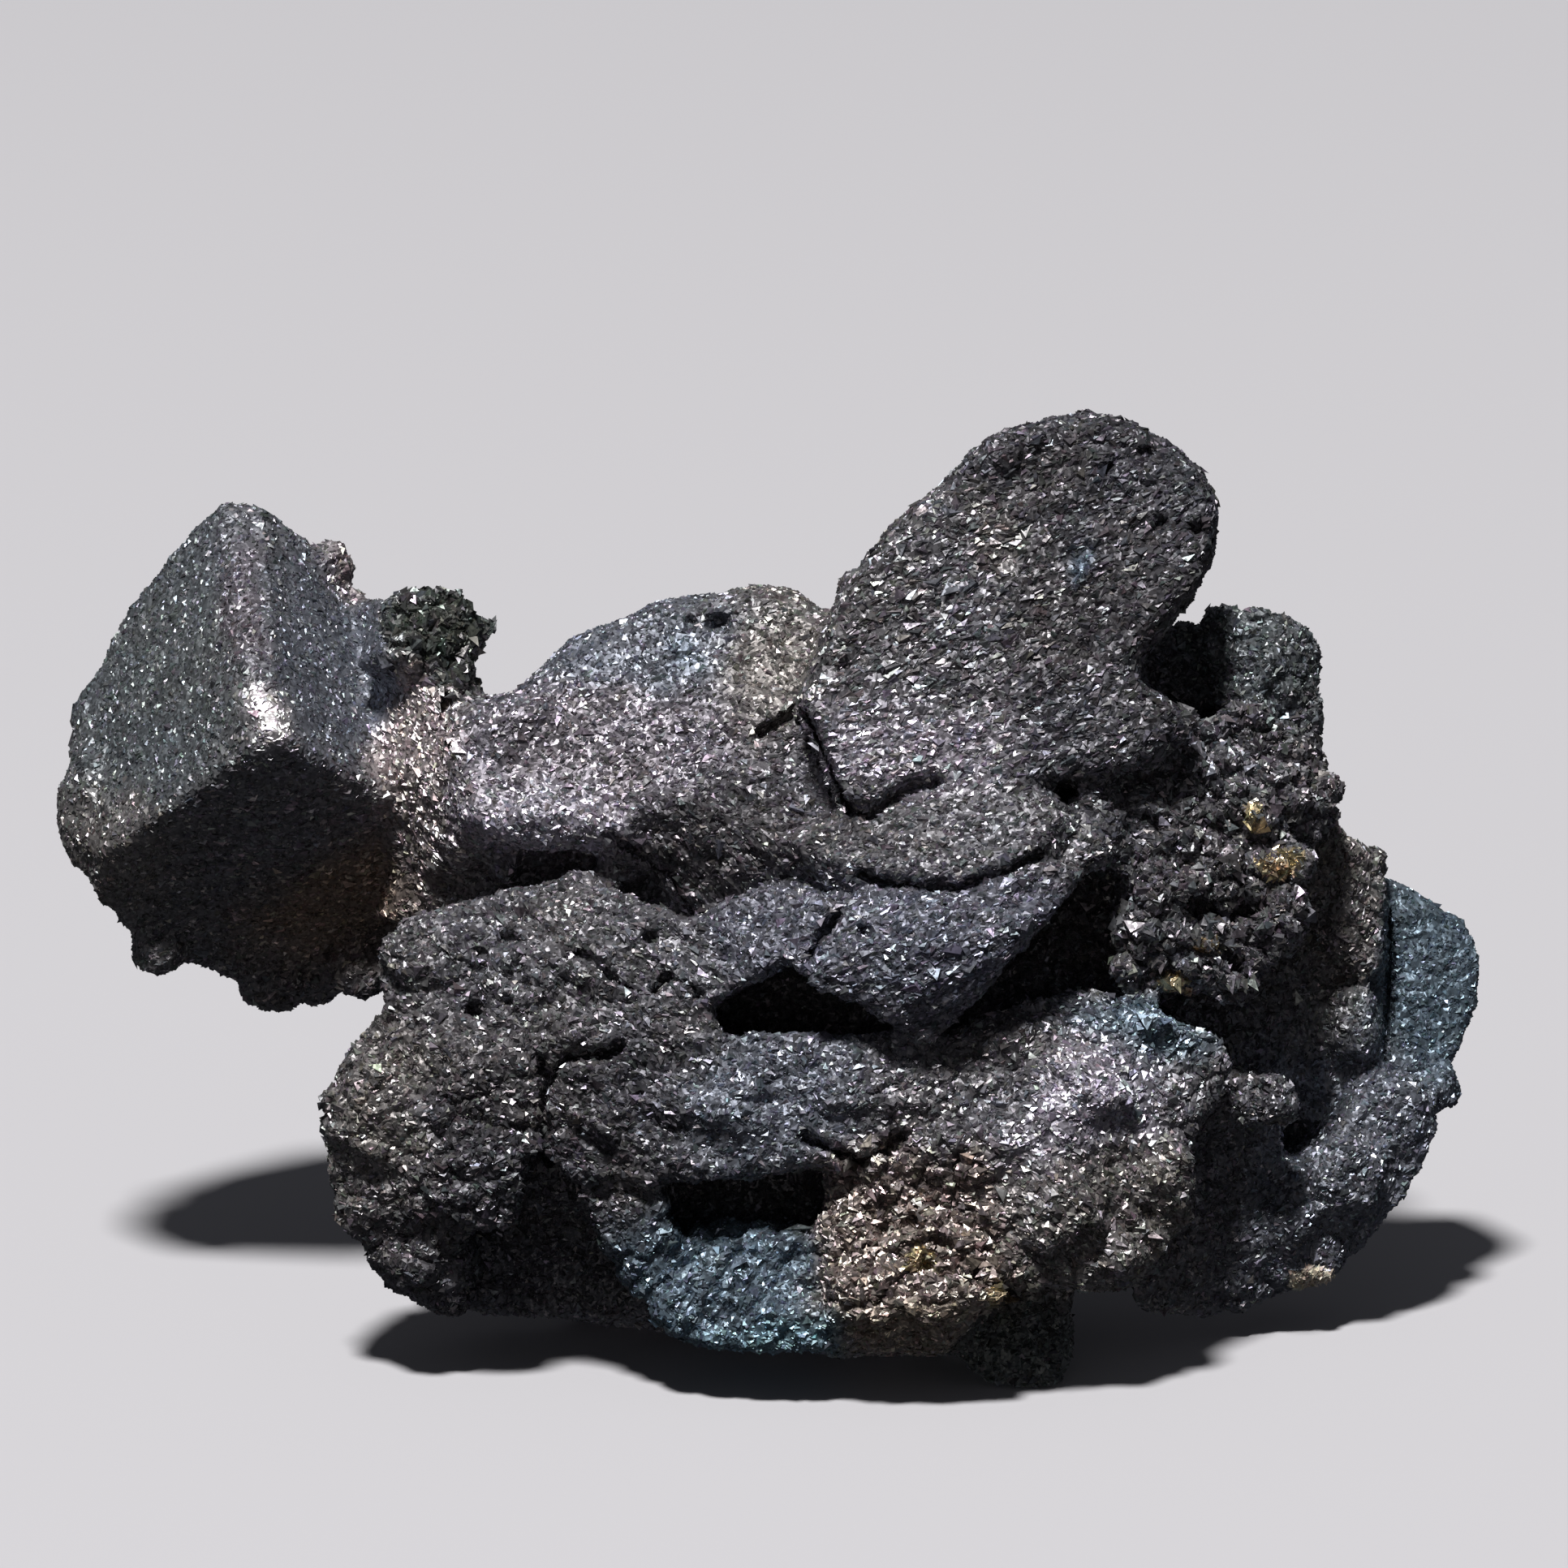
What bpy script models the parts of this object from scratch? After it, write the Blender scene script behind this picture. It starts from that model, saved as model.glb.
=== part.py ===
"""A galena specimen: one natural cluster of intergrown lead-grey cubic crystals.

The cluster is a crooked, open plate about 45 mm long, 30 mm high and 22 mm deep.
A large cube stands at its left end with one corner forward, a flat tongue rises at its
upper right, and a thin plate lies behind its right end. It stands on small flat spots.

Every form is written down as it is seen from the front, from 15 degrees above:
across to the right and up in the picture plane, and depth away from the viewer,
all in millimetres. The crystals interpenetrate, so they become one closed solid.
"""

import math
import random

import bmesh
import bpy
from mathutils import Euler, Matrix, Vector

MM = 0.001

# How the front view sees the specimen
VIEW_TILT = math.radians(15.0)
VIEW_DISTANCE = 400.0
VIEW_CENTRE = (0.61, 18.95)

# Where the level of its lowest flat spots is seen, as up and depth
LOWEST_SPOT = (0.0, 0.5)

# The joined solid: how finely it is joined, how many triangles it keeps, and how uneven it is
GRAIN = 0.24
TRIANGLES = 9000
ROUGHNESS = 0.14
ROUGH_SCALE = 1.3
SEED = 7
FLOOR_REACH = 60.0

# Lumps: cubes in each, how far their corners reach (of the radius), and their unevenness
LUMP_CUBES = 2
LUMP_REACH = 0.62
LUMP_JITTER = 0.12

LEAD_GREY = (0.20, 0.20, 0.24, 1.0)


def seen(across, up, depth):
    """The place, in millimetres, of a point seen at (across, up) and lying at that depth."""
    spread = 1.0 + depth / VIEW_DISTANCE
    x = VIEW_CENTRE[0] + (across - VIEW_CENTRE[0]) * spread
    rise = VIEW_CENTRE[1] + (up - VIEW_CENTRE[1]) * spread
    y = rise * math.sin(VIEW_TILT) + depth * math.cos(VIEW_TILT)
    z = rise * math.cos(VIEW_TILT) - depth * math.sin(VIEW_TILT)
    return Vector((x, y, z))


def add_hull(shape, points):
    """Adds the convex body that wraps the points."""
    part = bmesh.new()
    for point in points:
        part.verts.new(point)
    wrapped = bmesh.ops.convex_hull(part, input=part.verts)
    inside = [item for item in wrapped["geom_interior"] if isinstance(item, bmesh.types.BMVert)]
    bmesh.ops.delete(part, geom=inside, context="VERTS")
    bmesh.ops.recalc_face_normals(part, faces=part.faces)
    mesh = bpy.data.meshes.new("hull")
    part.to_mesh(mesh)
    part.free()
    shape.from_mesh(mesh)
    bpy.data.meshes.remove(mesh)


def add_crystal(shape, points):
    """Adds a crystal wrapped round points written as (across, up, depth)."""
    add_hull(shape, [seen(*point) for point in points])


def plane_depth(plane, across, up):
    """Depth of a sloping plane: (across, up, depth there, slope across, slope up)."""
    return plane[2] + plane[3] * (across - plane[0]) + plane[4] * (up - plane[1])


def add_slab(shape, outline, front, back, chamfer):
    """Adds a plate with this outline between a front and a back plane, with chamfered rims."""
    inset, drop = chamfer
    middle_across = sum(point[0] for point in outline) / len(outline)
    middle_up = sum(point[1] for point in outline) / len(outline)
    rings = []
    for plane, shrink, sink in ((front, inset, 0.0), (front, 0.0, drop),
                                (back, 0.0, -drop), (back, inset, 0.0)):
        ring = []
        for across, up in outline:
            away = Vector((across - middle_across, up - middle_up))
            away.length = max(away.length - shrink, 0.0)
            place = (middle_across + away.x, middle_up + away.y)
            depth = plane_depth(plane, *place) + sink
            ring.append(shape.verts.new(seen(place[0], place[1], depth)))
        rings.append(ring)
    faces = [shape.faces.new(rings[0]), shape.faces.new(list(reversed(rings[-1])))]
    count = len(outline)
    for near, far in zip(rings, rings[1:]):
        for i in range(count):
            j = (i + 1) % count
            faces.append(shape.faces.new((near[i], far[i], far[j], near[j])))
    bmesh.ops.recalc_face_normals(shape, faces=faces)


def add_lump(shape, centre, radii, seed, cubes=LUMP_CUBES):
    """Adds a blocky lump: crossed cubes with blunt, uneven corners, squashed to the radii."""
    rng = random.Random(SEED * 1000 + seed)
    for _ in range(cubes):
        turned = Euler([rng.uniform(0.0, math.tau) for _ in range(3)]).to_matrix()
        points = []
        for i in (-1.0, 1.0):
            for j in (-1.0, 1.0):
                for k in (-1.0, 1.0):
                    reach = LUMP_REACH * (1.0 + rng.uniform(-LUMP_JITTER, LUMP_JITTER))
                    way = turned @ Vector((i, j, k)) * reach
                    points.append(seen(*(c + r * d for c, r, d in zip(centre, radii, way))))
        add_hull(shape, points)


def add_cube(shape, centre, size, turn):
    """Adds a cubic crystal of the given edge lengths, turned by degrees round its centre."""
    turned = Euler([math.radians(angle) for angle in turn]).to_matrix()
    place = seen(*centre)
    corners = []
    for i in (-0.5, 0.5):
        for j in (-0.5, 0.5):
            for k in (-0.5, 0.5):
                corner = Vector((i * size[0], j * size[1], k * size[2]))
                corners.append(place + turned @ corner)
    add_hull(shape, corners)


# The left end: a cube with one corner forward, and the lumps on its rim
LEFT_CUBE = [
    (-15.3, 20.5, 1.0), (-15.9, 21.8, 1.9), (-17.0, 27.9, 7.2), (-15.6, 27.7, 7.4),
    (-14.6, 26.9, 8.2), (-12.8, 25.0, 9.4), (-9.6, 17.4, 6.2), (-20.6, 16.9, 4.7),
    (-21.8, 21.1, 8.4), (-20.0, 24.5, 8.6), (-18.0, 26.9, 7.8), (-21.9, 17.4, 6.6),
    (-20.9, 15.2, 6.6), (-20.0, 14.4, 7.6), (-17.5, 13.1, 9.0), (-14.0, 11.7, 10.2),
    (-12.0, 13.0, 9.4), (-10.0, 15.6, 8.0), (-17.0, 24.5, 11.8), (-13.4, 22.5, 12.6),
    (-19.6, 19.5, 12.4), (-15.6, 20.2, 15.2), (-15.2, 15.6, 12.8), (-11.8, 18.0, 11.0),
]
LEFT_LUMPS = [
    ((-21.2, 18.3, 7.6), (1.2, 2.2, 2.0)),
    ((-21.15, 21.2, 8.6), (0.7, 0.8, 1.0)),
    ((-19.0, 13.7, 8.2), (1.05, 1.0, 1.3)),
    ((-13.7, 25.9, 8.8), (1.0, 0.9, 1.2)),
    ((-15.2, 12.6, 9.6), (1.4, 1.0, 1.3)),
    ((-12.6, 12.9, 8.8), (1.2, 0.9, 1.4)),
    ((-16.4, 27.2, 7.6), (1.0, 0.8, 0.9)),
]

# The neck that joins the cube to the middle, with a round knob on top
NECK = [
    (-12.9, 25.0, 8.8), (-12.4, 22.0, 6.8), (-11.9, 19.7, 4.6), (-10.4, 18.3, 2.6),
    (-9.2, 17.2, 1.2), (-8.6, 17.4, 0.9), (-9.0, 20.0, 1.1), (-9.7, 20.9, 1.8),
    (-10.0, 22.4, 2.8), (-11.0, 24.4, 4.8), (-12.0, 24.9, 6.2), (-9.2, 16.2, 3.4),
    (-11.5, 15.2, 6.6), (-12.0, 24.0, 11.0), (-9.2, 21.4, 8.4), (-8.6, 17.0, 7.6),
]
NECK_LUMPS = [
    ((-10.7, 23.3, 4.9), (2.15, 2.05, 2.1)),
    ((-10.7, 23.3, 4.9), (2.1, 2.1, 2.1)),
    ((-10.1, 22.4, 4.9), (1.5, 1.8, 1.9)),
]

# The pale slope between the neck and the tongue
BRIDGE_OUTLINE = [
    (-10.2, 20.4), (-9.2, 21.7), (-7.9, 21.7), (-6.3, 23.3), (-5.4, 23.8), (-4.3, 24.1),
    (-3.2, 24.7), (-1.0, 24.95), (1.0, 24.8), (2.2, 24.1), (3.0, 21.0), (3.4, 17.6),
    (2.3, 16.5), (0.8, 17.2), (0.0, 17.55), (-1.0, 17.25), (-2.0, 17.7), (-2.9, 18.9),
    (-4.8, 18.6), (-4.2, 17.1), (-5.2, 16.95), (-7.4, 16.9), (-8.7, 17.3), (-9.6, 17.8),
]
BRIDGE_FRONT = (-3.0, 21.0, 0.8, -0.08, 0.38)
BRIDGE_BACK = (-3.0, 21.0, 6.0, 0.0, 0.05)
BRIDGE_LUMPS = [
    ((0.3, 24.4, 3.6), (1.35, 1.05, 1.6)),
    ((-6.6, 17.9, 0.5), (2.0, 1.0, 1.2)),
    ((-4.5, 16.5, 1.6), (0.8, 0.7, 1.2)),
    ((-8.1, 16.4, 2.6), (0.6, 0.7, 1.2)),
    ((-3.0, 23.4, 3.2), (2.8, 1.2, 1.7)),
    ((-7.2, 20.2, 1.8), (2.2, 1.8, 1.6)),
    ((0.2, 20.2, 1.6), (2.6, 2.0, 1.9)),
]

# The dark cliff under the slope
CLIFF = [
    (-4.8, 18.5, 0.2), (-3.0, 18.8, -0.3), (-2.0, 17.6, -0.5), (0.0, 17.4, -1.0),
    (2.3, 16.4, -1.8), (-3.5, 16.2, 1.8), (-2.3, 14.8, 1.0), (0.0, 15.4, 0.4),
    (2.6, 15.0, -0.4), (-4.4, 17.6, 5.0), (2.6, 17.0, 4.0), (2.6, 14.6, 3.6),
    (-2.6, 14.6, 4.0),
]

# The flat tongue that rises to the upper right
TONGUE_OUTLINE = [
    (1.0, 21.4), (1.8, 23.4), (2.4, 24.9), (4.0, 27.0), (5.9, 28.65), (6.75, 29.5),
    (7.3, 29.95), (8.7, 30.25), (10.0, 30.6), (11.5, 30.3), (12.8, 29.6), (13.8, 28.6),
    (14.2, 27.4), (14.1, 26.2), (13.6, 25.2), (12.7, 24.0), (11.8, 23.0), (11.7, 22.2),
    (12.8, 21.4), (13.6, 20.8), (12.2, 19.6), (10.0, 19.1), (6.5, 19.0), (4.9, 18.9),
    (4.0, 18.5), (3.0, 18.0), (2.4, 18.3), (1.7, 20.0),
]
TONGUE_FRONT = (7.0, 24.0, -2.0, 0.08, 0.10)
TONGUE_BACK = (7.0, 24.0, 2.2, 0.05, 0.0)
TONGUE_FLAKE = [
    (6.5, 28.9, -1.5), (6.7, 29.35, -1.6), (7.2, 29.9, -1.5), (8.7, 30.2, -1.4),
    (9.0, 29.9, -1.7), (7.6, 29.0, -1.9), (6.8, 28.6, -1.6), (6.8, 29.2, 0.4),
    (8.8, 30.1, 0.4), (8.6, 28.8, 0.0), (7.0, 28.6, 0.2),
]
TONGUE_BACK_CUBES = [
    ((4.6, 23.4, 2.6), (4.5, 3.0, 4.0), (12, 18, -38)),
    ((8.2, 26.6, 2.2), (4.5, 3.0, 4.5), (-10, 14, -42)),
    ((11.2, 27.8, 1.6), (3.2, 2.6, 3.2), (18, -12, -30)),
]

# The knob behind the tongue and the dark wall that closes the hole beside it
BACK_KNOB = [
    (13.6, 24.5, 5.2), (14.3, 24.6, 4.2), (15.7, 24.5, 3.8), (16.9, 24.1, 4.6),
    (17.5, 23.1, 5.0), (17.1, 22.2, 5.0), (16.85, 21.0, 4.5), (15.2, 21.6, 3.6),
    (14.9, 22.6, 3.4), (16.0, 23.0, 3.0), (14.5, 24.0, 7.5), (17.0, 23.4, 7.5),
    (16.6, 19.5, 7.5), (14.0, 19.5, 8.0), (14.2, 20.0, 3.0), (17.6, 19.4, 4.6),
]
HOLE_WALL = [
    (9.0, 24.0, 4.0), (13.0, 24.3, 5.6), (15.0, 21.5, 5.4), (13.0, 19.0, 3.0),
    (9.0, 18.0, 2.0), (10.0, 23.0, 7.0), (14.0, 23.0, 8.0), (14.0, 18.0, 7.5),
    (8.0, 19.0, 6.0),
]

# The coarse granular masses on the right
UPPER_GRANULAR = [
    (10.0, 18.7, 0.3), (12.5, 19.5, -0.2), (14.2, 21.0, 0.9), (15.3, 21.5, 1.4),
    (16.9, 20.7, 2.4), (18.0, 18.9, 3.2), (18.1, 17.6, 3.6), (17.0, 16.6, 2.4),
    (15.0, 16.4, 0.2), (11.2, 16.4, -0.2), (10.2, 17.2, -0.2), (11.0, 18.0, 5.0),
    (16.5, 19.5, 6.5), (16.0, 17.0, 6.0),
]
LOWER_GRANULAR = [
    (10.9, 15.0, -0.4), (10.9, 13.2, -0.4), (11.8, 12.1, -0.2), (13.5, 12.5, 0.0),
    (15.4, 12.7, 0.4), (16.5, 13.7, 1.0), (17.1, 14.9, 1.2), (16.8, 16.2, 1.4),
    (15.0, 17.0, 0.0), (11.5, 17.0, -0.6), (11.5, 16.0, 4.5), (15.5, 16.0, 5.0),
    (15.2, 13.0, 4.6), (11.5, 12.5, 4.2),
]
GRANULAR_LUMPS = [
    ((14.9, 20.9, 1.8), (1.1, 0.8, 1.1)), ((13.2, 19.5, 0.8), (1.4, 1.0, 1.1)),
    ((11.5, 18.6, 0.3), (1.4, 0.9, 1.0)), ((14.6, 18.2, 0.8), (1.6, 1.3, 1.1)),
    ((16.0, 19.2, 2.1), (1.4, 1.4, 1.2)), ((17.1, 18.8, 3.1), (1.0, 1.3, 1.2)),
    ((12.6, 17.2, 0.1), (1.5, 1.0, 0.8)), ((16.2, 16.6, 1.4), (1.4, 1.0, 1.1)),
    ((12.2, 15.7, -0.5), (1.5, 1.0, 0.8)), ((14.2, 16.2, 0.1), (1.3, 1.0, 0.8)),
    ((15.9, 14.7, 0.9), (1.6, 1.4, 1.0)), ((12.0, 13.9, -0.2), (1.5, 1.4, 0.8)),
    ((13.6, 13.6, 0.0), (1.3, 1.2, 0.8)), ((14.6, 12.5, 0.5), (1.0, 0.7, 0.9)),
]

# The plate behind the right end
UPPER_PLATE = [
    (19.5, 16.1, 8.0), (20.9, 15.3, 8.0), (22.2, 14.4, 8.0), (22.5, 13.6, 8.0),
    (22.45, 12.2, 8.0), (21.9, 10.9, 7.8), (21.3, 9.6, 7.6), (19.4, 10.0, 7.4),
    (17.0, 8.0, 7.0), (16.6, 15.8, 7.0), (16.0, 17.0, 9.4), (20.6, 15.0, 11.0),
    (21.8, 13.0, 10.8), (21.2, 10.4, 10.4), (18.0, 9.5, 10.6),
]
PLATE_STRIP = [
    (17.4, 18.4, 4.4), (18.1, 17.7, 5.0), (18.7, 16.9, 5.6), (19.4, 16.2, 6.2),
    (19.45, 13.4, 6.3), (18.9, 12.9, 6.0), (17.6, 14.0, 5.2), (16.6, 17.0, 4.4),
    (17.0, 18.0, 8.5), (19.3, 15.8, 9.0), (19.2, 13.0, 9.0), (16.6, 13.6, 8.6),
]
LOWER_PLATE = [
    (14.0, 2.3, 5.2), (13.8, 3.1, 4.4), (15.3, 5.0, 4.0), (16.9, 6.4, 4.2),
    (18.2, 8.4, 4.8), (19.4, 10.1, 5.6), (21.2, 9.5, 6.4), (20.9, 8.0, 6.0),
    (20.5, 6.6, 5.8), (20.0, 5.9, 5.8), (18.5, 4.1, 5.8), (17.3, 3.2, 5.6),
    (15.2, 2.6, 5.6), (15.5, 3.6, 9.0), (18.5, 5.5, 9.4), (20.0, 8.0, 9.4),
    (17.5, 9.5, 9.8), (14.5, 6.0, 9.4),
]
PLATE_LUMPS = [
    ((18.6, 11.4, 6.6), (0.85, 1.4, 0.9)),
    ((21.3, 9.4, 7.6), (0.7, 0.9, 1.0)), ((16.8, 3.7, 5.9), (1.5, 0.6, 1.2)),
    ((14.7, 3.0, 5.6), (0.9, 0.7, 1.0)), ((19.0, 16.5, 6.8), (0.7, 0.6, 1.0)),
    ((18.0, 6.8, 4.8), (1.6, 1.4, 0.9)), ((19.6, 8.6, 5.8), (1.4, 1.6, 0.9)),
    ((16.4, 5.2, 4.6), (1.2, 1.0, 0.9)), ((20.5, 8.2, 6.6), (0.6, 1.2, 0.9)),
    ((21.0, 13.2, 8.4), (1.5, 2.0, 0.7)),
]
PLATE_ARM = [
    (12.0, 13.0, 4.0), (18.0, 15.5, 6.6), (18.0, 9.0, 7.2), (12.0, 6.0, 4.2),
    (12.0, 12.4, 6.4), (17.5, 14.5, 9.2), (17.5, 8.6, 9.6), (12.5, 6.4, 6.6),
]

# The ridge that juts out in the middle, in two tiers
RIDGE_TOP = [
    (0.6, 17.2, -1.9), (2.4, 16.5, -2.9), (2.8, 17.9, -2.4), (5.4, 19.0, -2.4),
    (8.4, 19.0, -2.5), (9.4, 18.1, -2.7), (8.9, 17.2, -3.3), (8.2, 16.6, -3.8),
    (6.2, 16.1, -4.0), (3.6, 16.1, -3.6), (2.6, 15.2, -2.2), (8.6, 15.6, -2.6),
    (1.0, 16.6, 2.0), (2.0, 18.0, 3.0), (8.8, 19.0, 3.0), (9.2, 16.4, 3.0),
    (2.6, 15.0, 3.0),
]
RIDGE_LOW = [
    (2.6, 15.2, -3.4), (4.0, 15.4, -3.9), (5.4, 15.5, -4.2), (8.0, 16.0, -4.0),
    (9.5, 16.4, -3.4), (10.0, 16.1, -3.0), (9.3, 15.1, -4.0), (7.2, 14.4, -4.9),
    (5.0, 13.9, -5.2), (5.2, 13.0, -5.1), (6.9, 13.0, -4.6), (5.8, 11.2, -3.8),
    (5.1, 10.8, -3.8), (4.6, 11.2, -4.1), (3.3, 11.9, -4.4), (2.0, 12.3, -4.3),
    (0.8, 13.2, -4.1), (2.2, 14.4, -4.0), (2.0, 13.5, -0.5), (4.8, 12.0, -0.8),
    (8.6, 14.9, -0.5), (9.0, 16.0, 2.5), (2.6, 14.8, 2.5),
]
RIDGE_BOSS = [
    (-2.1, 14.8, -2.2), (-1.4, 15.3, -2.3), (0.0, 15.85, -2.6), (1.5, 15.7, -3.1),
    (2.3, 15.0, -3.6), (1.9, 14.2, -4.0), (1.4, 13.6, -4.1), (0.0, 13.4, -3.8),
    (-0.6, 13.0, -3.5), (-1.7, 12.2, -3.0), (-2.2, 12.0, -2.6), (-2.6, 12.6, -2.4),
    (-1.8, 12.0, 0.4), (-2.0, 14.4, 2.0), (2.2, 14.8, 2.5), (1.6, 13.8, 0.0),
]
GRANULAR_NECK = [
    (9.3, 18.1, -1.9), (9.3, 16.8, -2.6), (10.0, 16.3, -2.6), (11.2, 16.3, -1.2),
    (11.8, 18.6, -0.5), (10.4, 19.0, -1.0), (9.7, 18.5, -1.4), (9.0, 16.6, 3.0),
    (11.0, 18.5, 4.0), (9.4, 18.4, 3.0), (11.0, 16.4, 4.0),
]

# The middle of the lower body
MIDDLE_LEFT = [
    (-7.0, 10.2, -1.8), (-4.5, 11.0, -2.3), (0.0, 11.2, -2.8), (5.2, 11.2, -3.2),
    (6.0, 9.0, -3.4), (5.5, 7.5, -3.2), (2.0, 7.0, -2.9), (-1.5, 6.7, -2.7),
    (-3.5, 6.4, -2.4), (-6.5, 6.7, -1.8), (-6.9, 8.0, -2.0), (-6.0, 10.5, 3.0),
    (5.5, 10.5, 3.0), (5.5, 7.4, 3.0), (-6.0, 7.4, 3.0),
]
MIDDLE_RIGHT = [
    (5.0, 10.9, -2.7), (7.0, 11.8, -2.0), (10.4, 12.7, -1.1), (12.0, 11.9, -0.8),
    (14.2, 11.2, 0.0), (14.6, 10.6, 0.1), (14.3, 9.0, 0.0), (13.4, 8.0, -0.9),
    (12.0, 5.4, -1.6), (8.0, 5.0, -3.1), (6.0, 6.4, -3.4), (5.0, 8.0, -3.3),
    (9.4, 8.2, -3.2), (7.0, 11.0, 4.0), (13.5, 10.5, 4.5), (12.0, 6.0, 4.0),
    (7.0, 6.0, 3.0),
]
LOWER_RIGHT = [
    (5.5, 6.5, -3.0), (9.0, 7.0, -3.0), (13.3, 7.6, -1.0), (13.7, 5.6, -0.8),
    (12.0, 4.0, -1.4), (11.5, 3.1, -1.2), (8.0, 3.1, -2.4), (7.0, 3.6, -2.8),
    (6.0, 5.0, -3.0), (7.0, 5.6, 3.0), (12.5, 6.0, 3.4), (11.0, 3.6, 2.6),
    (7.5, 3.4, 2.0),
]
SIDE_LINK = [
    (13.4, 10.4, 1.0), (15.4, 10.0, 2.6), (16.2, 8.6, 3.4), (14.8, 8.2, 2.6),
    (13.2, 8.2, 1.4), (13.0, 10.8, 5.0), (16.0, 9.8, 6.6), (13.2, 7.4, 5.6),
]
SIDE_WALL = [
    (12.6, 8.4, 2.2), (16.0, 9.0, 4.4), (16.4, 6.4, 5.0), (14.4, 3.0, 5.0),
    (13.9, 2.25, 5.2), (11.8, 2.4, 2.6), (11.4, 3.2, 1.6), (12.4, 8.0, 6.4),
    (16.0, 8.6, 7.6), (14.6, 3.0, 7.4), (11.6, 2.6, 5.8),
]
INNER_SLOPE = [
    (-5.0, 12.6, -2.2), (-1.9, 12.5, -2.7), (-1.5, 11.5, -2.9), (-1.6, 10.6, -2.9),
    (-5.0, 10.4, -2.4), (-5.0, 11.8, 2.0), (-1.6, 11.8, 2.0),
]
SLIT_WALL = [
    (-12.2, 14.6, 6.4), (-8.6, 14.6, 3.6), (-3.2, 15.0, 2.4), (-3.2, 17.2, 2.8),
    (-8.6, 17.4, 3.4), (-10.6, 17.4, 4.6), (-12.0, 14.8, 8.6), (-8.4, 14.8, 6.0),
    (-3.2, 15.4, 5.0), (-8.4, 17.6, 6.0), (-10.8, 17.6, 7.4),
]
MIDDLE_LUMPS = [
    ((15.6, 9.1, 2.2), (1.3, 1.1, 1.4)), ((11.8, 11.4, -0.9), (1.5, 0.6, 0.7)),
    ((13.8, 10.4, 0.2), (1.0, 1.1, 0.8)), ((9.6, 9.2, -2.5), (2.2, 1.4, 0.7)),
    ((6.6, 7.6, -3.1), (1.9, 1.3, 0.7)), ((3.4, 9.5, -3.0), (2.2, 1.2, 0.7)),
    ((-1.0, 9.0, -2.6), (2.6, 1.4, 0.7)), ((11.0, 4.3, -1.7), (1.0, 1.1, 0.8)),
    ((9.2, 5.6, -2.7), (1.6, 1.4, 0.8)), ((-4.8, 8.6, -2.0), (1.6, 1.6, 0.7)),
    ((12.4, 6.8, -1.4), (1.3, 1.4, 0.8)), ((7.6, 10.8, -2.2), (1.8, 0.9, 0.7)),
    ((4.4, 6.9, -2.6), (1.6, 1.0, 0.6)),
]

# The block at the bottom, its crumpled left part and the dark knob it stands on
BOTTOM_BLOCK = [
    (2.0, 7.2, -1.5), (5.0, 7.4, -2.0), (6.5, 5.6, -2.9), (7.0, 3.6, -3.2),
    (7.2, 2.7, -3.0), (5.0, 2.3, -3.2), (2.2, 2.6, -2.8), (5.8, 1.3, -1.9),
    (3.0, 1.1, -1.7), (2.0, 1.2, -1.5), (1.8, 4.4, -2.4), (6.0, 6.0, 4.0),
    (2.0, 6.4, 4.0), (2.0, 1.1, 3.5), (5.6, 1.1, 3.5), (2.0, 1.3, 6.0),
    (5.6, 1.3, 6.0),
]
CRUMPLED_BLOCK = [
    (-3.6, 2.1, -1.0), (-2.5, 1.5, -1.6), (-1.3, 1.2, -1.9), (1.8, 1.3, -2.2),
    (1.9, 4.9, -1.2), (0.5, 5.1, -1.0), (-1.2, 5.2, -0.8), (-2.6, 4.9, -0.6),
    (-3.4, 3.6, -0.8), (-3.2, 2.0, 5.0), (2.0, 1.3, 6.0), (2.0, 4.8, 4.5),
    (-2.6, 4.8, 4.5),
]
BOTTOM_LUMPS = [
    ((3.0, 4.9, -2.2), (1.4, 1.4, 0.6)), ((5.2, 4.4, -2.8), (1.4, 1.5, 0.6)),
    ((3.6, 2.9, -2.8), (1.7, 1.2, 0.5)), ((-0.8, 3.4, -1.3), (1.5, 1.6, 0.6)),
    ((-2.6, 2.6, -1.1), (0.95, 1.0, 0.7)), ((0.8, 2.2, -1.8), (1.4, 0.8, 0.6)),
    ((7.0, 2.95, -2.8), (0.7, 0.45, 0.6)), ((0.8, 4.6, -1.2), (1.0, 0.6, 0.5)),
    ((5.4, 1.75, -2.1), (0.7, 0.5, 0.7)),
]
KNOB = [
    (5.9, 1.3, 0.4), (6.4, 0.6, 0.3), (7.1, 0.05, 0.3), (8.6, -0.1, 0.3),
    (9.3, 0.1, 0.5), (9.6, 0.8, 0.5), (9.6, 3.2, 0.4), (6.0, 3.2, 0.2),
    (6.2, 1.6, 4.0), (7.2, 0.6, 3.4), (9.0, 0.6, 3.4), (9.6, 2.0, 4.0),
    (6.4, 4.4, 4.0), (9.4, 4.6, 4.0),
]
LEFT_ARM = [
    (-6.0, 6.4, -1.4), (-3.4, 6.3, -2.0), (-2.8, 5.0, -1.7), (-3.5, 3.4, -1.2),
    (-3.8, 2.6, -0.8), (-4.4, 3.9, -0.9), (-5.3, 5.0, -0.9), (-5.6, 6.6, 3.0),
    (-3.0, 6.0, 3.4), (-3.3, 3.0, 4.4), (-4.4, 4.2, 3.8),
]

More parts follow.
